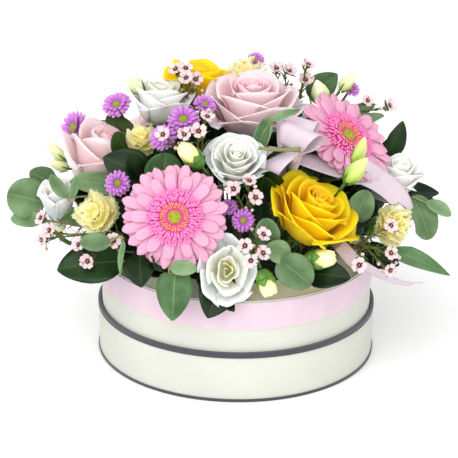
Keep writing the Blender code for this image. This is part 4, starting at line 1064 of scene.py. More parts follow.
def build_gerberas(look):
    petals = look.petals
    thick = petals.thickness / MM * 1.3
    pink = petal_finish("gerbera_petal", petals.gerbera, petals.gerbera_foot, 26.0, 0.5, 0.4, 0.8)
    disc_finishes = [
        pebbled_finish("gerbera_bed", petals.florets, shade(200, 40, 120), 700.0),
        petal_finish("gerbera_floret", shade(252, 150, 205), petals.florets, 8.0, 1.1, 0.15),
        petal_finish("gerbera_inner_floret", shade(246, 188, 140), petals.gold, 6.0, 1.6, 0.1),
        pebbled_finish("gerbera_eye", petals.eye, shade(120, 122, 20), 900.0),
    ]
    # Each ring: how many petals, their reach as part of the radius, foot, rise and arch
    rings = ((22, 0.95, -4.4, -0.8, 1.2), (22, 1.0, -2.9, 0.6, 1.8), (13, 0.84, -1.5, 2.4, 1.6))
    pad = [(0, -8.6), (0.16, -8), (0.30, -5), (0.40, -2.4), (0.40, -1.4), (0, -1.4)]
    for seed, (name, at, facing, radius) in enumerate(GERBERAS):
        draw = random.Random(SEEDS["gerbera"] + seed)
        axis = towards(*facing)
        middle = Vector(at)
        matrix = placed(middle, axis)
        shape = Shape()
        shape.turned(matrix, pad, 24, tone=0.2, size=(radius, 1))
        for count, reach, low, rise, arch in rings:
            shift = draw.uniform(0, 1)
            for i in range(count):
                turn = math.tau * (i + shift + draw.uniform(-0.14, 0.14)) / count
                end = radius * reach * draw.uniform(0.93, 1.03)
                half = radius * draw.uniform(0.102, 0.124)
                up = rise + draw.uniform(-1.2, 1.2)
                petal = strap_petal(matrix, turn, 0.26 * radius, end, half, low, up, arch,
                                    draw.uniform(-0.9, 0.9), draw.uniform(0.0, 0.06))
                shape.blade(petal, 6, 9, thick, draw.uniform(0.2, 0.9))
        shape.finish(f"{name}_ray_petals", [pink], "gerbera_petals", [f"{name}_petals"])
        disc = Shape()
        disc_florets(disc, matrix, radius, draw)
        disc.finish(f"{name}_disc", disc_finishes, "gerbera_florets", [f"{name}_florets"])
        green = Shape()
        base = middle - axis * (9.0 + GAP)
        cup = [(0, -8), (2.9, -7.6), (7.5, -4.5), (0.25 * radius, -0.4), (0.1 * radius, 0), (0, 0)]
        green.turned(placed(base, axis), cup, 18, tone=0.4,
                     lobes=lambda a, v: 1 + 0.05 * math.sin(14 * a))
        green.tube(stem_line(f"{name}_stem", base - axis * 6, -axis), *STEMS["gerbera"])
        green.finish(f"{name}_stalk", [stem_finish(look.greens)], "stem", [f"{name}_stem"])


def disc_florets(shape, matrix, radius, draw):
    """The rings of small florets, the inner ring and the green eye of a gerbera."""
    size = (radius, 1)
    bed = [(0, -1.2), (0.44, -0.6), (0.44, 0.2), (0.30, 1.8), (0.12, 1.4), (0, 1.4)]
    shape.turned(matrix, bed, 24, BED, 0.4, size)
    # Each ring: its radius, how many florets, their length, foot, rise and finish
    rings = ((0.40, 54, 0.135, 1.2, 2.2, FLORETS), (0.35, 50, 0.125, 1.8, 3.2, FLORETS),
             (0.30, 44, 0.115, 2.4, 4.0, FLORETS), (0.255, 38, 0.10, 2.6, 4.2, FLORETS),
             (0.215, 38, 0.055, 2.2, 3.2, INNER_FLORETS), (0.185, 32, 0.05, 1.9, 2.9, INNER_FLORETS),
             (0.155, 26, 0.04, 1.6, 2.4, INNER_FLORETS))
    for ring, count, length, low, rise, slot in rings:
        for i in range(count):
            turn = math.tau * (i + draw.uniform(-0.3, 0.3)) / count
            start = ring * radius
            long = length * radius * draw.uniform(0.8, 1.15)
            half = 0.95 if slot == FLORETS else 0.45
            lift = rise * draw.uniform(0.7, 1.2)

            def point(u, v, turn=turn, start=start, long=long, half=half, lift=lift, low=low):
                wide = half * (0.55 + 0.45 * math.sin(v * 2.6))
                z = low - 1.2 + lift * math.sin(v * 1.9) * 0.8 + 0.35 * u * u
                return swung(matrix, turn, Vector((start + long * v**1.2, u * wide, z)))

            shape.blade(point, 2, 3, 0.4, draw.uniform(0.2, 0.9), slot)
    dome = [(0, 0.4), (0.13, 0.6), (0.125, 2.4), (0.09, 3.1), (0.05, 3.2), (0, 3.0)]
    shape.turned(matrix, dome, 20, EYE, size=size)


# Carnations


def frilled_petal(matrix, turn, spread, reach, low, high, draw):
    """The surface of a fan-shaped petal with a toothed and deeply waved rim."""
    phase = draw.uniform(0, MAX_PHASE)
    folds = draw.uniform(2.4, 4.2)
    frill = draw.uniform(0.16, 0.30)

    def point(u, v):
        tooth = 0.08 * (round(u * 9) % 2) * between(0.78, 1.0, v)
        r = reach * (0.08 + 0.92 * v * (1 - 0.14 * u * u)) * (1 - tooth)
        wave = math.sin(folds * u + phase) * frill * v**1.5
        r += reach * 0.35 * wave
        z = low + (high - low) * v**0.8 + reach * wave
        z += 0.05 * reach * math.sin(10 * u + phase) * v**3
        a = turn + math.radians(spread) * u * (0.30 + 0.70 * v)
        a += 0.16 * math.cos(folds * u + phase) * v
        return matrix @ at_angle(r, a, z)

    return point


def build_carnations(look):
    petals, greens = look.petals, look.greens
    # The foot colour reaches over most of each petal: painted shade deep in the frills over the petals'
    # own yellow
    finishes = [petal_finish("lemon_petal", petals.lemon, petals.lemon_foot, 30.0, 0.9, 0.7),
                green_finish("bud_cup", greens.cup, greens.veined), stem_finish(greens)]
    pad = [(0, -0.42), (0.34, -0.40), (0.42, 0.0), (0.3, 0.42), (0, 0.46)]
    cup = [(0, -1.35), (0.2, -1.3), (0.30, -1.1), (0.33, -0.7), (0.36, -0.36), (0.2, -0.3), (0, -0.3)]
    # Each ring: how many petals, their reach, foot and top as parts of the radius, half their spread
    rings = ((6, 1.00, -0.34, 0.00, 42), (6, 1.00, -0.2, 0.36, 44), (5, 0.84, -0.1, 0.62, 50),
             (4, 0.62, 0.0, 0.80, 60), (3, 0.38, 0.1, 0.92, 80))
    for seed, (name, at, facing, radius) in enumerate(CARNATIONS):
        draw = random.Random(SEEDS["carnation"] + seed)
        axis = towards(*facing)
        low = Vector(at) - axis * 0.8 * radius
        matrix = placed(low, axis)
        size = (radius, radius)
        shape = Shape()
        shape.turned(matrix, pad, 12, tone=0.2, size=size)
        for count, reach, foot, high, spread in rings:
            shift = draw.uniform(0, MAX_PHASE)
            for i in range(count):
                turn = shift + math.tau * (i + draw.uniform(-0.2, 0.2)) / count
                petal = frilled_petal(matrix, turn, spread * draw.uniform(0.9, 1.2),
                                      reach * radius * draw.uniform(0.84, 1.1), foot * radius,
                                      high * radius * draw.uniform(0.8, 1.12), draw)
                shape.blade(petal, 18, 5, 0.25, draw.uniform(0.2, 1.0))
        shape.turned(matrix, cup, 12, MIDDLE, size=size,
                     lobes=lambda a, v: 1 + 0.06 * math.sin(5 * a) * v)
        stalk = stem_line(name, low - axis * 1.3 * radius, -axis)
        shape.tube(stalk, *STEMS["carnation"], STALK)
        shape.finish(f"{name}_head", finishes, "cream_petals", [name])


# Buds


def carnation_bud(shape, matrix, length, radius):
    """A bud with folded petals just out of a toothed green cup."""
    size = (radius, length)
    furl = [(0, 0.42), (0.72, 0.44), (0.84, 0.58), (0.84, 0.72), (0.70, 0.86), (0.42, 0.96), (0, 1.0)]
    shape.turned(matrix, furl, 24, PETALS, 0.7, size,
                 lambda a, v: 1 + 0.07 * math.sin(3 * a + 3 * v) + 0.04 * math.sin(8 * a - 2 * v))
    for k in range(4):
        turn = math.radians(90 * k + 30)

        def point(u, v, turn=turn):
            a = turn + math.radians(62) * u
            r = radius * (0.80 + 0.12 * v - 0.32 * v**3 + 0.07 * u)
            z = length * (0.45 + 0.52 * v - 0.06 * abs(u) ** 2) + 0.5 * math.sin(9 * u) * v
            return matrix @ at_angle(r, a, z)

        shape.blade(point, 8, 5, 0.35, 0.4 + 0.12 * k, PETALS)
    cup = [(0, 0.0), (0.30, 0.01), (0.62, 0.08), (0.90, 0.26), (0.98, 0.42), (0.70, 0.44), (0, 0.44)]
    shape.turned(matrix, cup, 20, MIDDLE, size=size)
    for k in range(5):
        turn = math.radians(72 * k)

        def tooth(u, v, turn=turn):
            a = turn + math.radians(37) * u * (1 - v) ** 0.7
            r = radius * (0.98 + 0.05 * math.sin(v * 3.0))
            return matrix @ at_angle(r, a, length * (0.38 + 0.26 * v))

        shape.blade(tooth, 4, 4, 0.4, 0.6, MIDDLE)


def twisted_bud(shape, matrix, length, radius):
    """A furled lisianthus bud with narrow sepals at its foot."""
    furl = [(0, 0), (0.5, 0.03), (0.86, 0.14), (1.0, 0.30), (0.94, 0.48), (0.74, 0.66), (0.46, 0.82),
            (0.2, 0.94), (0, 1.0)]
    shape.turned(matrix, furl, 24, PETALS, size=(radius, length),
                 lobes=lambda a, v: 1 + 0.13 * math.sin(3 * a - 5 * v) + 0.05 * math.sin(6 * a - 9 * v))
    for k in range(5):
        turn = math.radians(72 * k + 15)

        def sepal(u, v, turn=turn):
            a = turn + 0.30 * u * (1 - v)
            r = radius * (0.45 + 0.75 * math.sin(v * 1.5)) + 0.8 * v
            return matrix @ at_angle(r, a, length * (-0.03 + 0.42 * v))

        shape.blade(sepal, 2, 5, 0.35, slot=MIDDLE)


def build_side_bud(look):
    """A pale bud beside the white bloom at the top, on a stem of its own."""
    shape = Shape()
    base, tip = Vector((-86, 12, 238)), Vector((-103, 20, 254))
    axis = (tip - base).normalized()
    twisted_bud(shape, placed(base, axis), (tip - base).length, 6.0)
    stalk = curved([base, base - axis * 12, (-70, 16, 200), (-40, 12, 100)], 5)
    shape.tube(stalk[::-1], *STEMS["side_bud"], MIDDLE)
    finishes = [pale_bud_finish(look.greens), stem_finish(look.greens)]
    shape.finish("pale_side_bud", finishes, "green_buds")


def build_buds(look):
    petals, greens = look.petals, look.greens
    lemon = bud_finish("lemon_bud", petals.lemon, shade(255, 244, 190), petals.lemon_foot)
    furled = bud_finish("furled_bud", greens.bud_foot, greens.bud, shade(196, 212, 110))
    greenery = [green_finish("bud_cup", greens.cup, greens.veined), stem_finish(greens)]
    tables = ((CARNATION_BUDS, carnation_bud, lemon), (LISIANTHUS_BUDS, twisted_bud, furled))
    for table, make_bud, finish in tables:
        for name, buds in table.items():
            if name == "lisianthus_buds_back":
                finish = pale_bud_finish(greens)
            shape = Shape()
            main = None
            for base, tip, radius in buds:
                base, tip = Vector(base), Vector(tip)
                axis = (tip - base).normalized()
                make_bud(shape, placed(base, axis), (tip - base).length, radius)
                if main is None:
                    main = stem_line(name, base - axis, -axis)
                    shape.tube(main, *STEMS["bud"], STALK)
                else:
                    fork = curved([main[7], base - axis * 9, base - axis * 0.5], 4)
                    shape.tube(fork, *STEMS["bud_fork"], STALK)
            shape.finish(f"{name}_shoots", [finish, *greenery], "green_buds", [name])


# Daisies


def build_daisies(look):
    petals = look.petals
    finishes = [petal_finish("daisy_petal", petals.purple, petals.purple_foot, 16.0, 0.6, 0.3, 0.6),
                pebbled_finish("daisy_eye", petals.daisy_eye, shade(110, 124, 16), 1400.0),
                stem_finish(look.greens)]
    # Each ring: how many petals, their reach as part of the radius, foot and rise
    rings = ((16, 1.0, -0.2, 0.04), (15, 0.94, 0.6, 0.16), (12, 0.74, 1.2, 0.36))
    dome = [(0, -0.4), (0.30, 0.0), (0.29, 0.16), (0.20, 0.24), (0.1, 0.25), (0, 0.24)]
    cup = [(0, -0.52), (0.14, -0.5), (0.28, -0.3), (0.30, -0.12), (0.1, -0.05), (0, -0.05)]
    for seed, (name, heads) in enumerate(DAISIES.items()):
        draw = random.Random(SEEDS["daisy"] + seed)
        shape = Shape()
        main = None
        for at, facing, radius in heads:
            axis = towards(*facing)
            matrix = placed(Vector(at), axis)
            size = (radius, radius)
            for count, reach, low, rise in rings:
                shift = draw.uniform(0, MAX_PHASE)
                for i in range(count):
                    turn = shift + math.tau * (i + draw.uniform(-0.15, 0.15)) / count
                    end = reach * radius * draw.uniform(0.92, 1.04)
                    up = rise * radius + draw.uniform(-0.6, 0.6)
                    petal = strap_petal(matrix, turn, 0.16 * radius, end, 0.135 * radius, low, up,
                                        0.06 * radius, 0.0, 0.02)
                    shape.blade(petal, 4, 6, 0.3, draw.uniform(0.2, 1.0))
            shape.turned(matrix, dome, 16, MIDDLE, size=size)
            shape.turned(matrix, cup, 12, STALK, 0.4, size)
            start = Vector(at) - axis * 0.5 * radius
            if main is None:
                main = stem_line(name, start, -axis)
                shape.tube(main, *STEMS["daisy"], STALK)
            else:
                fork = curved([main[6], start - axis * 8, start], 4)
                shape.tube(fork, *STEMS["daisy_fork"], STALK)
        shape.finish(f"{name}_heads", finishes, "purple_petals", [name])


# Waxflower


def wax_floret(shape, matrix, draw):
    """Five round petals about a dark cup, with a calyx under it."""
    cupped = draw.uniform(0.2, 1.5)
    size = draw.uniform(0.84, 1.0)
    both = (size, size)
    for k in range(5):
        turn = math.tau * (k + draw.uniform(-0.09, 0.09)) / 5
        lift = draw.uniform(-0.5, 0.9)

        def point(u, v, turn=turn, lift=lift):
            t = (1 - math.cos(v * math.pi)) / 2
            half = 3.5 * math.sqrt(max(0.02, 1 - (1.9 * t - 1.0) ** 2)) * (0.84 + 0.16 * t)
            out = 2.1 + 5.0 * t - 0.35 * (1 - u * u) ** 2 * t**4
            z = 1.1 + (cupped + lift) * 2.0 * t * t + 0.6 * u * u * half / 3.5 * (1 - 0.5 * t)
            return swung(matrix, turn, Vector((out, u * half, z)) * size)

        shape.blade(point, 4, 5, 0.3, draw.uniform(0.0, 1.0), PETALS)
    calyx_cup = [(0, -3.6), (1.2, -3.4), (2.1, -1.8), (2.5, 0.4), (2.5, 1.5), (2.1, 1.6), (0, 0.9)]
    shape.turned(matrix, calyx_cup, 12, STALK, size=both)
    ring = [(0, 1.0), (1.7, 1.1), (2.1, 1.8), (1.5, 2.0), (0.7, 1.3), (0, 1.3)]
    shape.turned(matrix, ring, 12, MIDDLE, size=both)
    pistil = [(0, 1.2), (0.65, 1.3), (0.6, 1.7), (0.3, 2.5), (0.4, 2.8), (0, 3.0)]
    shape.turned(matrix, pistil, 6, PETALS, 0.9)
    for k in range(10):
        out = at_angle(1, math.radians(36 * k + 9), 0) * size
        ends = [out * 1.9 + Vector((0, 0, 1.5)), out * 1.5 + Vector((0, 0, 2.6))]
        shape.tube([matrix @ end for end in ends], 0.22, 4, MIDDLE)


def wax_bud(shape, at, axis, draw):
    """A round bud of a waxflower."""
    size = draw.uniform(0.7, 1.0)
    profile = [(0, -2.4), (0.8, -2.2), (1.7, -0.6), (2.0, 0.8), (1.5, 2.0), (0, 2.5)]
    shape.turned(placed(at, axis), profile, 10, WAX_BUDS, size=(size, size))


def needles(shape, line, draw, length, every):
    """Pairs of narrow leaves up a twig."""
    for i in range(1, len(line) - 1, every):
        up = (line[i + 1] - line[i - 1]).normalized()
        side = up.orthogonal().normalized()
        spin = draw.uniform(0, MAX_PHASE)
        for k in range(2):
            out = Matrix.Rotation(spin + k * math.pi, 3, up) @ side
            long = length * draw.uniform(0.7, 1.2)
            flat = up.cross(out)

            def point(u, v, out=out, long=long, flat=flat, start=line[i]):
                wide = 0.85 * math.sin(math.pi * (0.08 + 0.88 * v))
                place = start + (out * 0.62 + up * 0.78) * long * v
                return place + flat * u * wide + out * 0.8 * v * v

            shape.blade(point, 1, 3, 0.4, draw.uniform(0.3, 0.8), NEEDLES)


def build_waxflowers(look):
    petals, greens = look.petals, look.greens
    finishes = [
        petal_finish("wax_petal", petals.wax, shade(214, 150, 156), 6.0, 0.38, 0.10),
        pebbled_finish("wax_cup", petals.wax_cup, shade(70, 16, 22), 1600.0, 0.35),
        green_finish("wax_twig", greens.twig, shade(120, 70, 50)),
        green_finish("wax_needle", shade(92, 126, 52), shade(52, 84, 34)),
        bud_finish("wax_bud", shade(150, 128, 84), petals.wax, petals.wax_cup),
    ]
    for seed, (name, (fork, florets)) in enumerate(WAXFLOWERS.items()):
        draw = random.Random(SEEDS["waxflower"] + seed)
        main = forked_stem(name, fork, [at for at, _ in florets])
        shape = Shape()
        shape.tube(main, *STEMS["waxflower"], STALK)
        needles(shape, curved(main[3:], 3), draw, 10.0, 2)
        for at, facing in florets:
            axis = towards(*facing)
            wax_floret(shape, placed(Vector(at), axis, draw.uniform(0, 70)), draw)
            start = Vector(at) - axis * 3
            joint = main[-2].lerp(main[-1], draw.uniform(0.2, 1.0))
            line = curved([joint, (Vector(fork) + start) / 2 - axis * 4, start - axis * 5, start], 4)
            shape.tube(line, lambda t: 0.95 - 0.3 * t, 5, STALK)
            needles(shape, line, draw, 8.0, 1)
            for _ in range(2):
                start = line[draw.randint(4, len(line) - 4)]
                out = (axis + Vector([draw.uniform(-0.9, 0.9) for _ in range(3)])).normalized()
                tip = start + out * draw.uniform(6, 10)
                shape.tube([start, (start + tip) / 2 + out * 0.4, tip], 0.45, 5, STALK)
                wax_bud(shape, tip + out * 1.8, out, draw)
        shape.finish(f"{name}_spray", finishes, "waxflower", [name])


# Leaves


def forked_stem(name, fork, ends):
    """The line of a stem up to its fork, where it leans towards the middle of what it carries."""
    heart = sum((Vector(end) for end in ends), Vector()) / len(ends)
    return stem_line(name, fork, (STEM_HEART - heart).normalized(), 8)


def leaf_blade(shape, leaf, draw, thick, across=8, along=12):
    """The blade of a leaf, with a midrib fold and a gently waved edge. Gives where its stalk joins."""
    base, tip, width, facing, outline, cup, slot = leaf
    base, tip = Vector(base), Vector(tip)
    along_leaf = tip - base
    length = along_leaf.length
    side = along_leaf.cross(towards(*facing)).normalized()
    up = side.cross(along_leaf).normalized()
    near, far = OUTLINES[outline]
    peak = near / (near + far)
    widest = peak**near * (1 - peak) ** far
    phase = draw.uniform(0, MAX_PHASE)
    wave = 0.018 * width if outline == ROUND_LEAF else 0.03 * width
    bend = draw.uniform(-0.05, 0.05) * length

    def point(u, v):
        t = 0.004 + 0.992 * (1 - math.cos(math.pi * v)) / 2
        half = width / 2 * t**near * (1 - t) ** far / widest
        place = base + along_leaf * t + up * 0.062 * length * math.sin(math.pi * t)
        place += side * (u * half + bend * t * t * 0.6)
        place += up * cup * abs(u) ** 1.2 * half / width * 2
        place += up * wave * math.sin(7 * t + phase + 2 * u) * u * u * math.sin(math.pi * t)
        return cleared(place)

    shape.blade(point, across, along, thick, draw.uniform(0.1, 0.95), slot)
    return base + along_leaf * 0.02


def leaf_finishes(greens):
    """The finishes of the four kinds of leaf, and of their stalks."""
    return [
        leaf_finish("glossy_leaf", greens.glossy, greens.glossy_light, shade(74, 104, 40), 0.34, 0.10),
        leaf_finish("veined_leaf", greens.veined, greens.veined_light, shade(140, 172, 112), 0.42, 0.05,
                    0.4),
        leaf_finish("grey_leaf", greens.grey, greens.grey_light, shade(142, 164, 122), 0.58, 0.0, 0.9),
        leaf_finish("olive_leaf", greens.olive, greens.glossy_light, shade(98, 108, 52), 0.40, 0.06),
        green_finish("leaf_stalk", shade(108, 132, 74), shade(140, 120, 80)),
    ]


def build_foliage(look):
    finishes = leaf_finishes(look.greens)
    thick = look.greens.thickness / MM
    for seed, (name, (fork, leaves)) in enumerate(FOLIAGE.items()):
        draw = random.Random(SEEDS["foliage"] + seed)
        main = forked_stem(name, fork, [leaf[0] for leaf in leaves])
        shape = Shape()
        shape.tube(main, *STEMS["foliage"], LEAF_STALK)
        joints = [main[-3].lerp(main[-1], part) for part in (0, 0.5, 1)]
        for leaf in leaves:
            start = leaf_blade(shape, leaf, draw, thick)
            root = min(joints, key=lambda joint: (joint - start).length)
            joints.append(start)
            lead = (Vector(leaf[1]) - Vector(leaf[0])).normalized()
            line = curved([root, (root + start) / 2 - lead * 3, start], 5)
            shape.tube([cleared(p) for p in line], lambda t: 1.2 - 0.45 * t, 6, LEAF_STALK)
        if name == "foliage_front_right":
            shape.tube(curved(CUT_STALK, 5), lambda t: 1.7 + 0.9 * t**6, 8, LEAF_STALK)
        shape.finish(f"{name}_leaves", finishes, "foliage", [name])


def build_under_leaves(look):
    """The mixed greenery that closes the gaps between the stems, well inside the dome."""
    draw = random.Random(SEEDS["under_leaves"])
    shape = Shape()
    kinds = ((POINTED, GLOSSY), (POINTED, GLOSSY), (POINTED, OLIVE), (OVAL, GLOSSY), (ROUND_LEAF, GREY),
             (POINTED, VEINED))
    # Each row: how many leaves, how far out and how high they start, their length and rise
    rows = ((30, 101, 112, 32, 12), (36, 98, 124, 36, 26), (36, 92, 138, 36, 36), (34, 84, 152, 36, 44),
            (30, 74, 166, 34, 50), (22, 58, 180, 32, 58), (14, 40, 194, 28, 66))
    for count, reach, height, length, rise in rows:
        for i in range(count):
            a = 360 * (i + draw.uniform(-0.3, 0.3)) / count
            if height < 140 and (a < 66 or a > 352):  # the front of the lowest rows stays open
                continue
            out = towards(a, 0)
            base = Vector((out.x * reach * 1.06, out.y * reach * 0.94, height + draw.uniform(-8, 6)))
            lean = towards(a + draw.uniform(-38, 38), rise + draw.uniform(-22, 14))
            long = length * draw.uniform(0.85, 1.25)
            if any((cleared(base + lean * part) - base - lean * part).length > MAX_SHIFT
                   for part in (0, long / 2, long)):
                continue
            outline, finish = draw.choice(kinds)
            if out.y < -0.3 and finish in (GREY, VEINED):  # dark at the front
                finish = GLOSSY
            leaf = (base, base + lean * long, long * 0.72, (a, rise + 40), outline, 2, finish)
            start = leaf_blade(shape, leaf, draw, look.greens.thickness / MM, 6, 8)
            root = Vector((out.x * reach * 0.62, out.y * reach * 0.6, FOAM_TOP - 4))
            line = curved([root, (root + start) / 2 + Vector((0, 0, 6)), start], 4)
            shape.tube(line, *STEMS["under_leaves"], LEAF_STALK)
    shape.finish("under_leaves", leaf_finishes(look.greens), "foliage")


# Ribbon


def ribbon_loop(name, knot, fold, across, bulge, gathered, satin, steps=40):
    """One loop of the bow, from the knot out round its fold and back."""
    knot, fold, across = Vector(knot), Vector(fold), Vector(across).normalized()
    swell = across.cross(fold - knot).normalized() * bulge
    shape = Shape()

    def point(u, v):
        a = math.pi * (0.06 + 1.88 * v)
        reach = (1 - math.cos(a)) / 2
        width = BOW_WIDTH / 2 * (gathered + (1 - gathered) * reach**0.7)
        opening = swell * math.sin(a) * (0.42 + 0.72 * reach)
        crease = swell * 0.05 * math.sin(5 * u + 2) * (1 - reach)
        return knot.lerp(fold, reach) + opening + crease + across * u * width

    shape.blade(point, 8, steps, BOW_THICK)
    middle = [point(0, v / steps) for v in range(steps + 1)]
    length = sum((b - a).length for a, b in zip(middle, middle[1:]))
    piece = shape.finish(name, [satin], "ribbon")


def ribbon_streamer(points):
    """A loose end of ribbon through the points, cut at a slant, and the size of its flat sheet."""
    lines = [curved([Vector(at) + towards(*across) * u * BOW_WIDTH / 2 * part
                     for at, across, part in points], 8) for u in (-1, 1)]
    last = len(lines[0]) - 1

    def point(u, v):
        place = v * (1 - 0.05 * (1 - u) * v)
        low = min(int(place * last), last - 1)
        t = place * last - low
        ends = [line[low].lerp(line[low + 1], t) for line in lines]
        sag = Vector((0, 0, 0.7 * math.sin(3.3 * u + 9 * v)))
        return cleared(ends[0].lerp(ends[1], (u + 1) / 2) + sag, 0.6)

    shape = Shape()
    shape.blade(point, 8, last, BOW_THICK)
    middle = [point(0, v / last) for v in range(last + 1)]
    width = BOW_WIDTH * sum(part for _, _, part in points) / len(points)
    return shape, (width * MM, sum((b - a).length for a, b in zip(middle, middle[1:])) * MM)


def build_bow(look):
    # The bow's darker ribbon colours are painted shade
    satin = satin_finish("bow_satin", look.box.bow, look.box.bow_shade, True, 46.0)
    stem = stem_finish(look.greens)
    knot = Shape()
    wrap = [(0, -8.5), (3.4, -8.4), (4.6, -6), (5.2, 0), (4.6, 6), (3.4, 8.4), (0, 8.5)]
    knot.turned(placed(BOW_KNOT, BOW_ACROSS.normalized()), wrap, 24,
                lobes=lambda a, v: 1 + 0.05 * math.sin(7 * a + 5 * v))
    down = Vector((0, 0, -1))
    knot.tube(stem_line("ribbon_bow", BOW_KNOT, down), *STEMS["bow"], MIDDLE)
    knot.finish("bow_knot", [satin, stem], "ribbon", ["ribbon_bow"])
    for name, loop in BOW_LOOPS.items():
        ribbon_loop(name, *loop, satin)
    shape, flat = ribbon_streamer(BOW_TAIL)
    piece = shape.finish("bow_tail", [satin], "ribbon")
    shape, flat = ribbon_streamer(RIBBON_TAIL)
    pick = stem_line("ribbon_tail", Vector(RIBBON_TAIL[0][0]) + Vector((2, -2, 0)), down, 3)
    holder = Shape()
    holder.tube(pick, *STEMS["tail"])
    holder.finish("loose_tail_pick", [stem], "ribbon", ["ribbon_tail"])
    piece = shape.finish("loose_tail", [satin], "ribbon")


def build_band(look):
    inner = BOX_RADIUS + GAP
    high = BOX_HEIGHT - RIBBON_BELOW_RIM
    length = math.tau * inner
    shape = Shape()

    def point(u, v):
        a = math.pi * (u + 1) + math.pi / 2
        return at_angle(inner, a, high - RIBBON_WIDTH * (1 - v))

    shape.closed(point, 180, 4, 0.5, 0)
    shape.mesh.normal_update()
    shape.thicken(shape.mesh.faces[:], RIBBON_THICK)
    satin = satin_finish("band_satin", look.box.ribbon, look.box.ribbon_shade, False,
                         length * MM / look.box.rib)
    piece = shape.finish("ribbon_band_satin", [satin], "ribbon", ["ribbon_band"], SHARP)


# The box


def tray(radius, low, high):
    """The profile of a round card tray with softly rounded edges."""
    inner = radius - CARD
    r = 0.5
    return [(0, low), (radius - r, low), (radius - 0.15, low + 0.15), (radius, low + r),
            (radius, high - r), (radius - 0.15, high - 0.15), (radius - r, high), (inner + r, high),
            (inner, high - r), (inner, low + CARD), (0, low + CARD)]


def hoop(inner, outer, low, high):
    """The closed profile of a strip with softly rounded outer edges."""
    r = 0.18
    return [(inner, low), (outer - r, low), (outer, low + r), (outer, high - r), (outer - r, high),
            (inner, high), (inner, low)]


def build_card(look):
    box = look.box
    card = card_finish("cream_card", box.card, 0.62, shade(226, 226, 206))
    seam = LID_HEIGHT - RIM_TRIM_HEIGHT
    for name, profile, node in (("card_lid", tray(LID_RADIUS, 0, seam - GAP), "lid"),
                                ("card_box", tray(BOX_RADIUS, CARD + GAP, BOX_HEIGHT), "hat_box")):
        shape = Shape()
        shape.spun(profile)
        shape.finish(name, [card], "card", [node], SHARP)
    trim = trim_finish("dark_trim", box.trim)
    outer = LID_RADIUS + GAP + TRIM
    rim = hoop(LID_RADIUS - CARD, outer, seam, LID_HEIGHT)
    base = hoop(LID_RADIUS + GAP, outer, 0, BASE_TRIM_HEIGHT)
    for name, profile, node in (("rim_strip", rim, "lid_rim_trim"),
                                ("base_strip", base, "lid_base_trim")):
        shape = Shape()
        shape.turned(Matrix(), profile, 180)
        shape.finish(name, [trim], "trim", [node], SHARP)
    floor = 2 * CARD + 2 * GAP
    inside = floor + LINER_THICK
    edge = BOX_RADIUS - CARD - GAP
    flange = BOX_HEIGHT - LINER_FLANGE_DROP
    top = flange + LINER_RISE
    wall = FOAM_RADIUS + GAP
    outer = wall + LINER_THICK
    shape = Shape()
    shape.spun([(0, floor), (outer, floor), (outer, top - LINER_THICK), (edge, flange - LINER_THICK),
                (edge, flange), (wall + 0.6, top), (wall, top - 0.6), (wall, inside), (0, inside)])
    lining = card_finish("lining_paper", box.liner, 0.55, shade(206, 204, 168))
    shape.finish("liner_tray", [lining], "liner", ["liner"], SHARP)
    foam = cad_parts["foam"]
    foam.data.materials.clear()
    foam.data.materials.append(
        pebbled_finish("floral_foam", box.foam, shade(18, 30, 14), 420.0, 0.95))


# The stage


def linked(name, data):
    """A new object of the data, in the scene."""
    made = bpy.data.objects.new(name, data)
    bpy.context.scene.collection.objects.link(made)
    return made


def build_stage(look):
    stage = look.stage
    scene = bpy.context.scene
    plane = bmesh.new()
    bmesh.ops.create_grid(plane, x_segments=2, y_segments=2, size=FLOOR_HALF)
    data = bpy.data.meshes.new("floor")
    plane.to_mesh(data)
    plane.free()
    floor = linked("floor", data)
    floor.location.z = -FLOOR_BELOW
    made = Finish("pale_floor", Roughness=0.6)
    grain = made.noise(made.place(), 40.0)
    made.colour(made.lit(made.mixed(grain * 0.2, stage.floor, shade(244, 244, 244)), 1.0))
    data.materials.append(made.material)

    for name, facing, softness, strength in (("key", *KEY_LIGHT, stage.key),
                                             ("fill", *FILL_LIGHT, stage.fill)):
        light = bpy.data.lights.new(name, "SUN")
        light.angle = math.radians(softness)
        light.energy = strength
        linked(name, light).rotation_euler = towards(*facing).to_track_quat("Z", "Y").to_euler()

    world = bpy.data.worlds.new("studio")
    world.use_nodes = True
    sky = world.node_tree.nodes["Background"].inputs
    sky["Color"].default_value = (1, 1, 1, 1)
    sky["Strength"].default_value = stage.sky
    scene.world = world
    scene.view_settings.view_transform = "Standard"

    lens = bpy.data.cameras.new("camera")
    lens.sensor_width = SENSOR
    lens.lens = CAMERA_FOCAL_PIXELS / PHOTO_PIXELS * SENSOR
    camera = linked("camera", lens)
    turn = Matrix((CAMERA_RIGHT, CAMERA_UP, CAMERA_BACK)).transposed().to_4x4()
    camera.matrix_world = Matrix.Translation(CAMERA_AT) @ turn
    scene.camera = camera


# Operators


class HATBOX_OT_card(bpy.types.Operator):
    """Build the card box, the lid that it stands in, their dark strips and the lining"""

    bl_idname = "hatbox.card"
    bl_label = "Box and lid"

    def execute(self, context):
        build_card(context.scene.hat_box)
        return {"FINISHED"}


class HATBOX_OT_band(bpy.types.Operator):
    """Build the satin band round the box"""

    bl_idname = "hatbox.band"
    bl_label = "Ribbon band"

    def execute(self, context):
        build_band(context.scene.hat_box)
        return {"FINISHED"}


class HATBOX_OT_roses(bpy.types.Operator):
    """Build the roses and the lisianthus with their stems"""

    bl_idname = "hatbox.roses"
    bl_label = "Roses and lisianthus"

    def execute(self, context):
        build_roses(context.scene.hat_box)
        return {"FINISHED"}


class HATBOX_OT_gerberas(bpy.types.Operator):
    """Build the gerberas"""

    bl_idname = "hatbox.gerberas"
    bl_label = "Gerberas"

    def execute(self, context):
        build_gerberas(context.scene.hat_box)
        return {"FINISHED"}


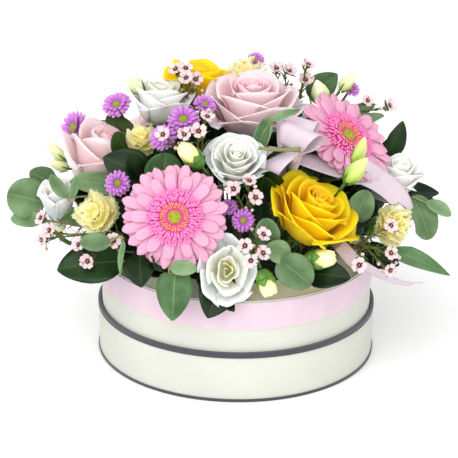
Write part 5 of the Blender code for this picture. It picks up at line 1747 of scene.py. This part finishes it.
class HATBOX_OT_carnations(bpy.types.Operator):
    """Build the frilled carnations"""

    bl_idname = "hatbox.carnations"
    bl_label = "Carnations"

    def execute(self, context):
        build_carnations(context.scene.hat_box)
        return {"FINISHED"}


class HATBOX_OT_buds(bpy.types.Operator):
    """Build the carnation and lisianthus buds"""

    bl_idname = "hatbox.buds"
    bl_label = "Buds"

    def execute(self, context):
        build_buds(context.scene.hat_box)
        return {"FINISHED"}


class HATBOX_OT_daisies(bpy.types.Operator):
    """Build the purple daisies"""

    bl_idname = "hatbox.daisies"
    bl_label = "Daisies"

    def execute(self, context):
        build_daisies(context.scene.hat_box)
        return {"FINISHED"}


class HATBOX_OT_waxflowers(bpy.types.Operator):
    """Build the sprays of waxflower"""

    bl_idname = "hatbox.waxflowers"
    bl_label = "Waxflower"

    def execute(self, context):
        build_waxflowers(context.scene.hat_box)
        return {"FINISHED"}


class HATBOX_OT_foliage(bpy.types.Operator):
    """Build the leafy stems"""

    bl_idname = "hatbox.foliage"
    bl_label = "Foliage"

    def execute(self, context):
        build_foliage(context.scene.hat_box)
        return {"FINISHED"}


class HATBOX_OT_under_leaves(bpy.types.Operator):
    """Build the small greenery between the stems"""

    bl_idname = "hatbox.under_leaves"
    bl_label = "Under leaves"

    def execute(self, context):
        build_under_leaves(context.scene.hat_box)
        return {"FINISHED"}


class HATBOX_OT_bow(bpy.types.Operator):
    """Build the ribbon bow and its loose ends"""

    bl_idname = "hatbox.bow"
    bl_label = "Bow"

    def execute(self, context):
        build_bow(context.scene.hat_box)
        return {"FINISHED"}


class HATBOX_OT_side_bud(bpy.types.Operator):
    """Build the small bud that stands apart from the others"""

    bl_idname = "hatbox.side_bud"
    bl_label = "Side bud"

    def execute(self, context):
        build_side_bud(context.scene.hat_box)
        return {"FINISHED"}


class HATBOX_OT_stage(bpy.types.Operator):
    """Set up the floor, the lights and the camera"""

    bl_idname = "hatbox.stage"
    bl_label = "Stage"

    def execute(self, context):
        build_stage(context.scene.hat_box)
        return {"FINISHED"}


STEPS = (HATBOX_OT_stage, HATBOX_OT_card, HATBOX_OT_band, HATBOX_OT_roses, HATBOX_OT_gerberas,
         HATBOX_OT_carnations, HATBOX_OT_buds, HATBOX_OT_daisies, HATBOX_OT_waxflowers,
         HATBOX_OT_foliage, HATBOX_OT_under_leaves, HATBOX_OT_bow, HATBOX_OT_side_bud)


class HATBOX_PT_panel(bpy.types.Panel):
    """Steps and settings of the flower hat box"""

    bl_idname = "HATBOX_PT_panel"
    bl_label = "Flower hat box"
    bl_space_type = "VIEW_3D"
    bl_region_type = "UI"
    bl_category = "Hat box"

    def draw(self, context):
        for step in STEPS:
            self.layout.operator(step.bl_idname)
        for group in ("box", "petals", "greens", "stage"):
            settings = getattr(context.scene.hat_box, group)
            box = self.layout.box()
            box.label(text=group.capitalize())
            for name in settings.__annotations__:
                box.prop(settings, name)


CLASSES = (HATBOX_PG_box, HATBOX_PG_petals, HATBOX_PG_greens, HATBOX_PG_stage, HATBOX_PG_settings,
           *STEPS, HATBOX_PT_panel)


def register():
    for one in CLASSES:
        bpy.utils.register_class(one)
    bpy.types.Scene.hat_box = PointerProperty(type=HATBOX_PG_settings)


def unregister():
    del bpy.types.Scene.hat_box
    for one in reversed(CLASSES):
        bpy.utils.unregister_class(one)


def main():
    register()
    bpy.ops.hatbox.stage()
    bpy.ops.hatbox.card()
    bpy.ops.hatbox.band()
    bpy.ops.hatbox.roses()
    bpy.ops.hatbox.gerberas()
    bpy.ops.hatbox.carnations()
    bpy.ops.hatbox.buds()
    bpy.ops.hatbox.daisies()
    bpy.ops.hatbox.waxflowers()
    bpy.ops.hatbox.foliage()
    bpy.ops.hatbox.under_leaves()
    bpy.ops.hatbox.bow()
    bpy.ops.hatbox.side_bud()
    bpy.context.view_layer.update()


if __name__ == "__main__":
    main()
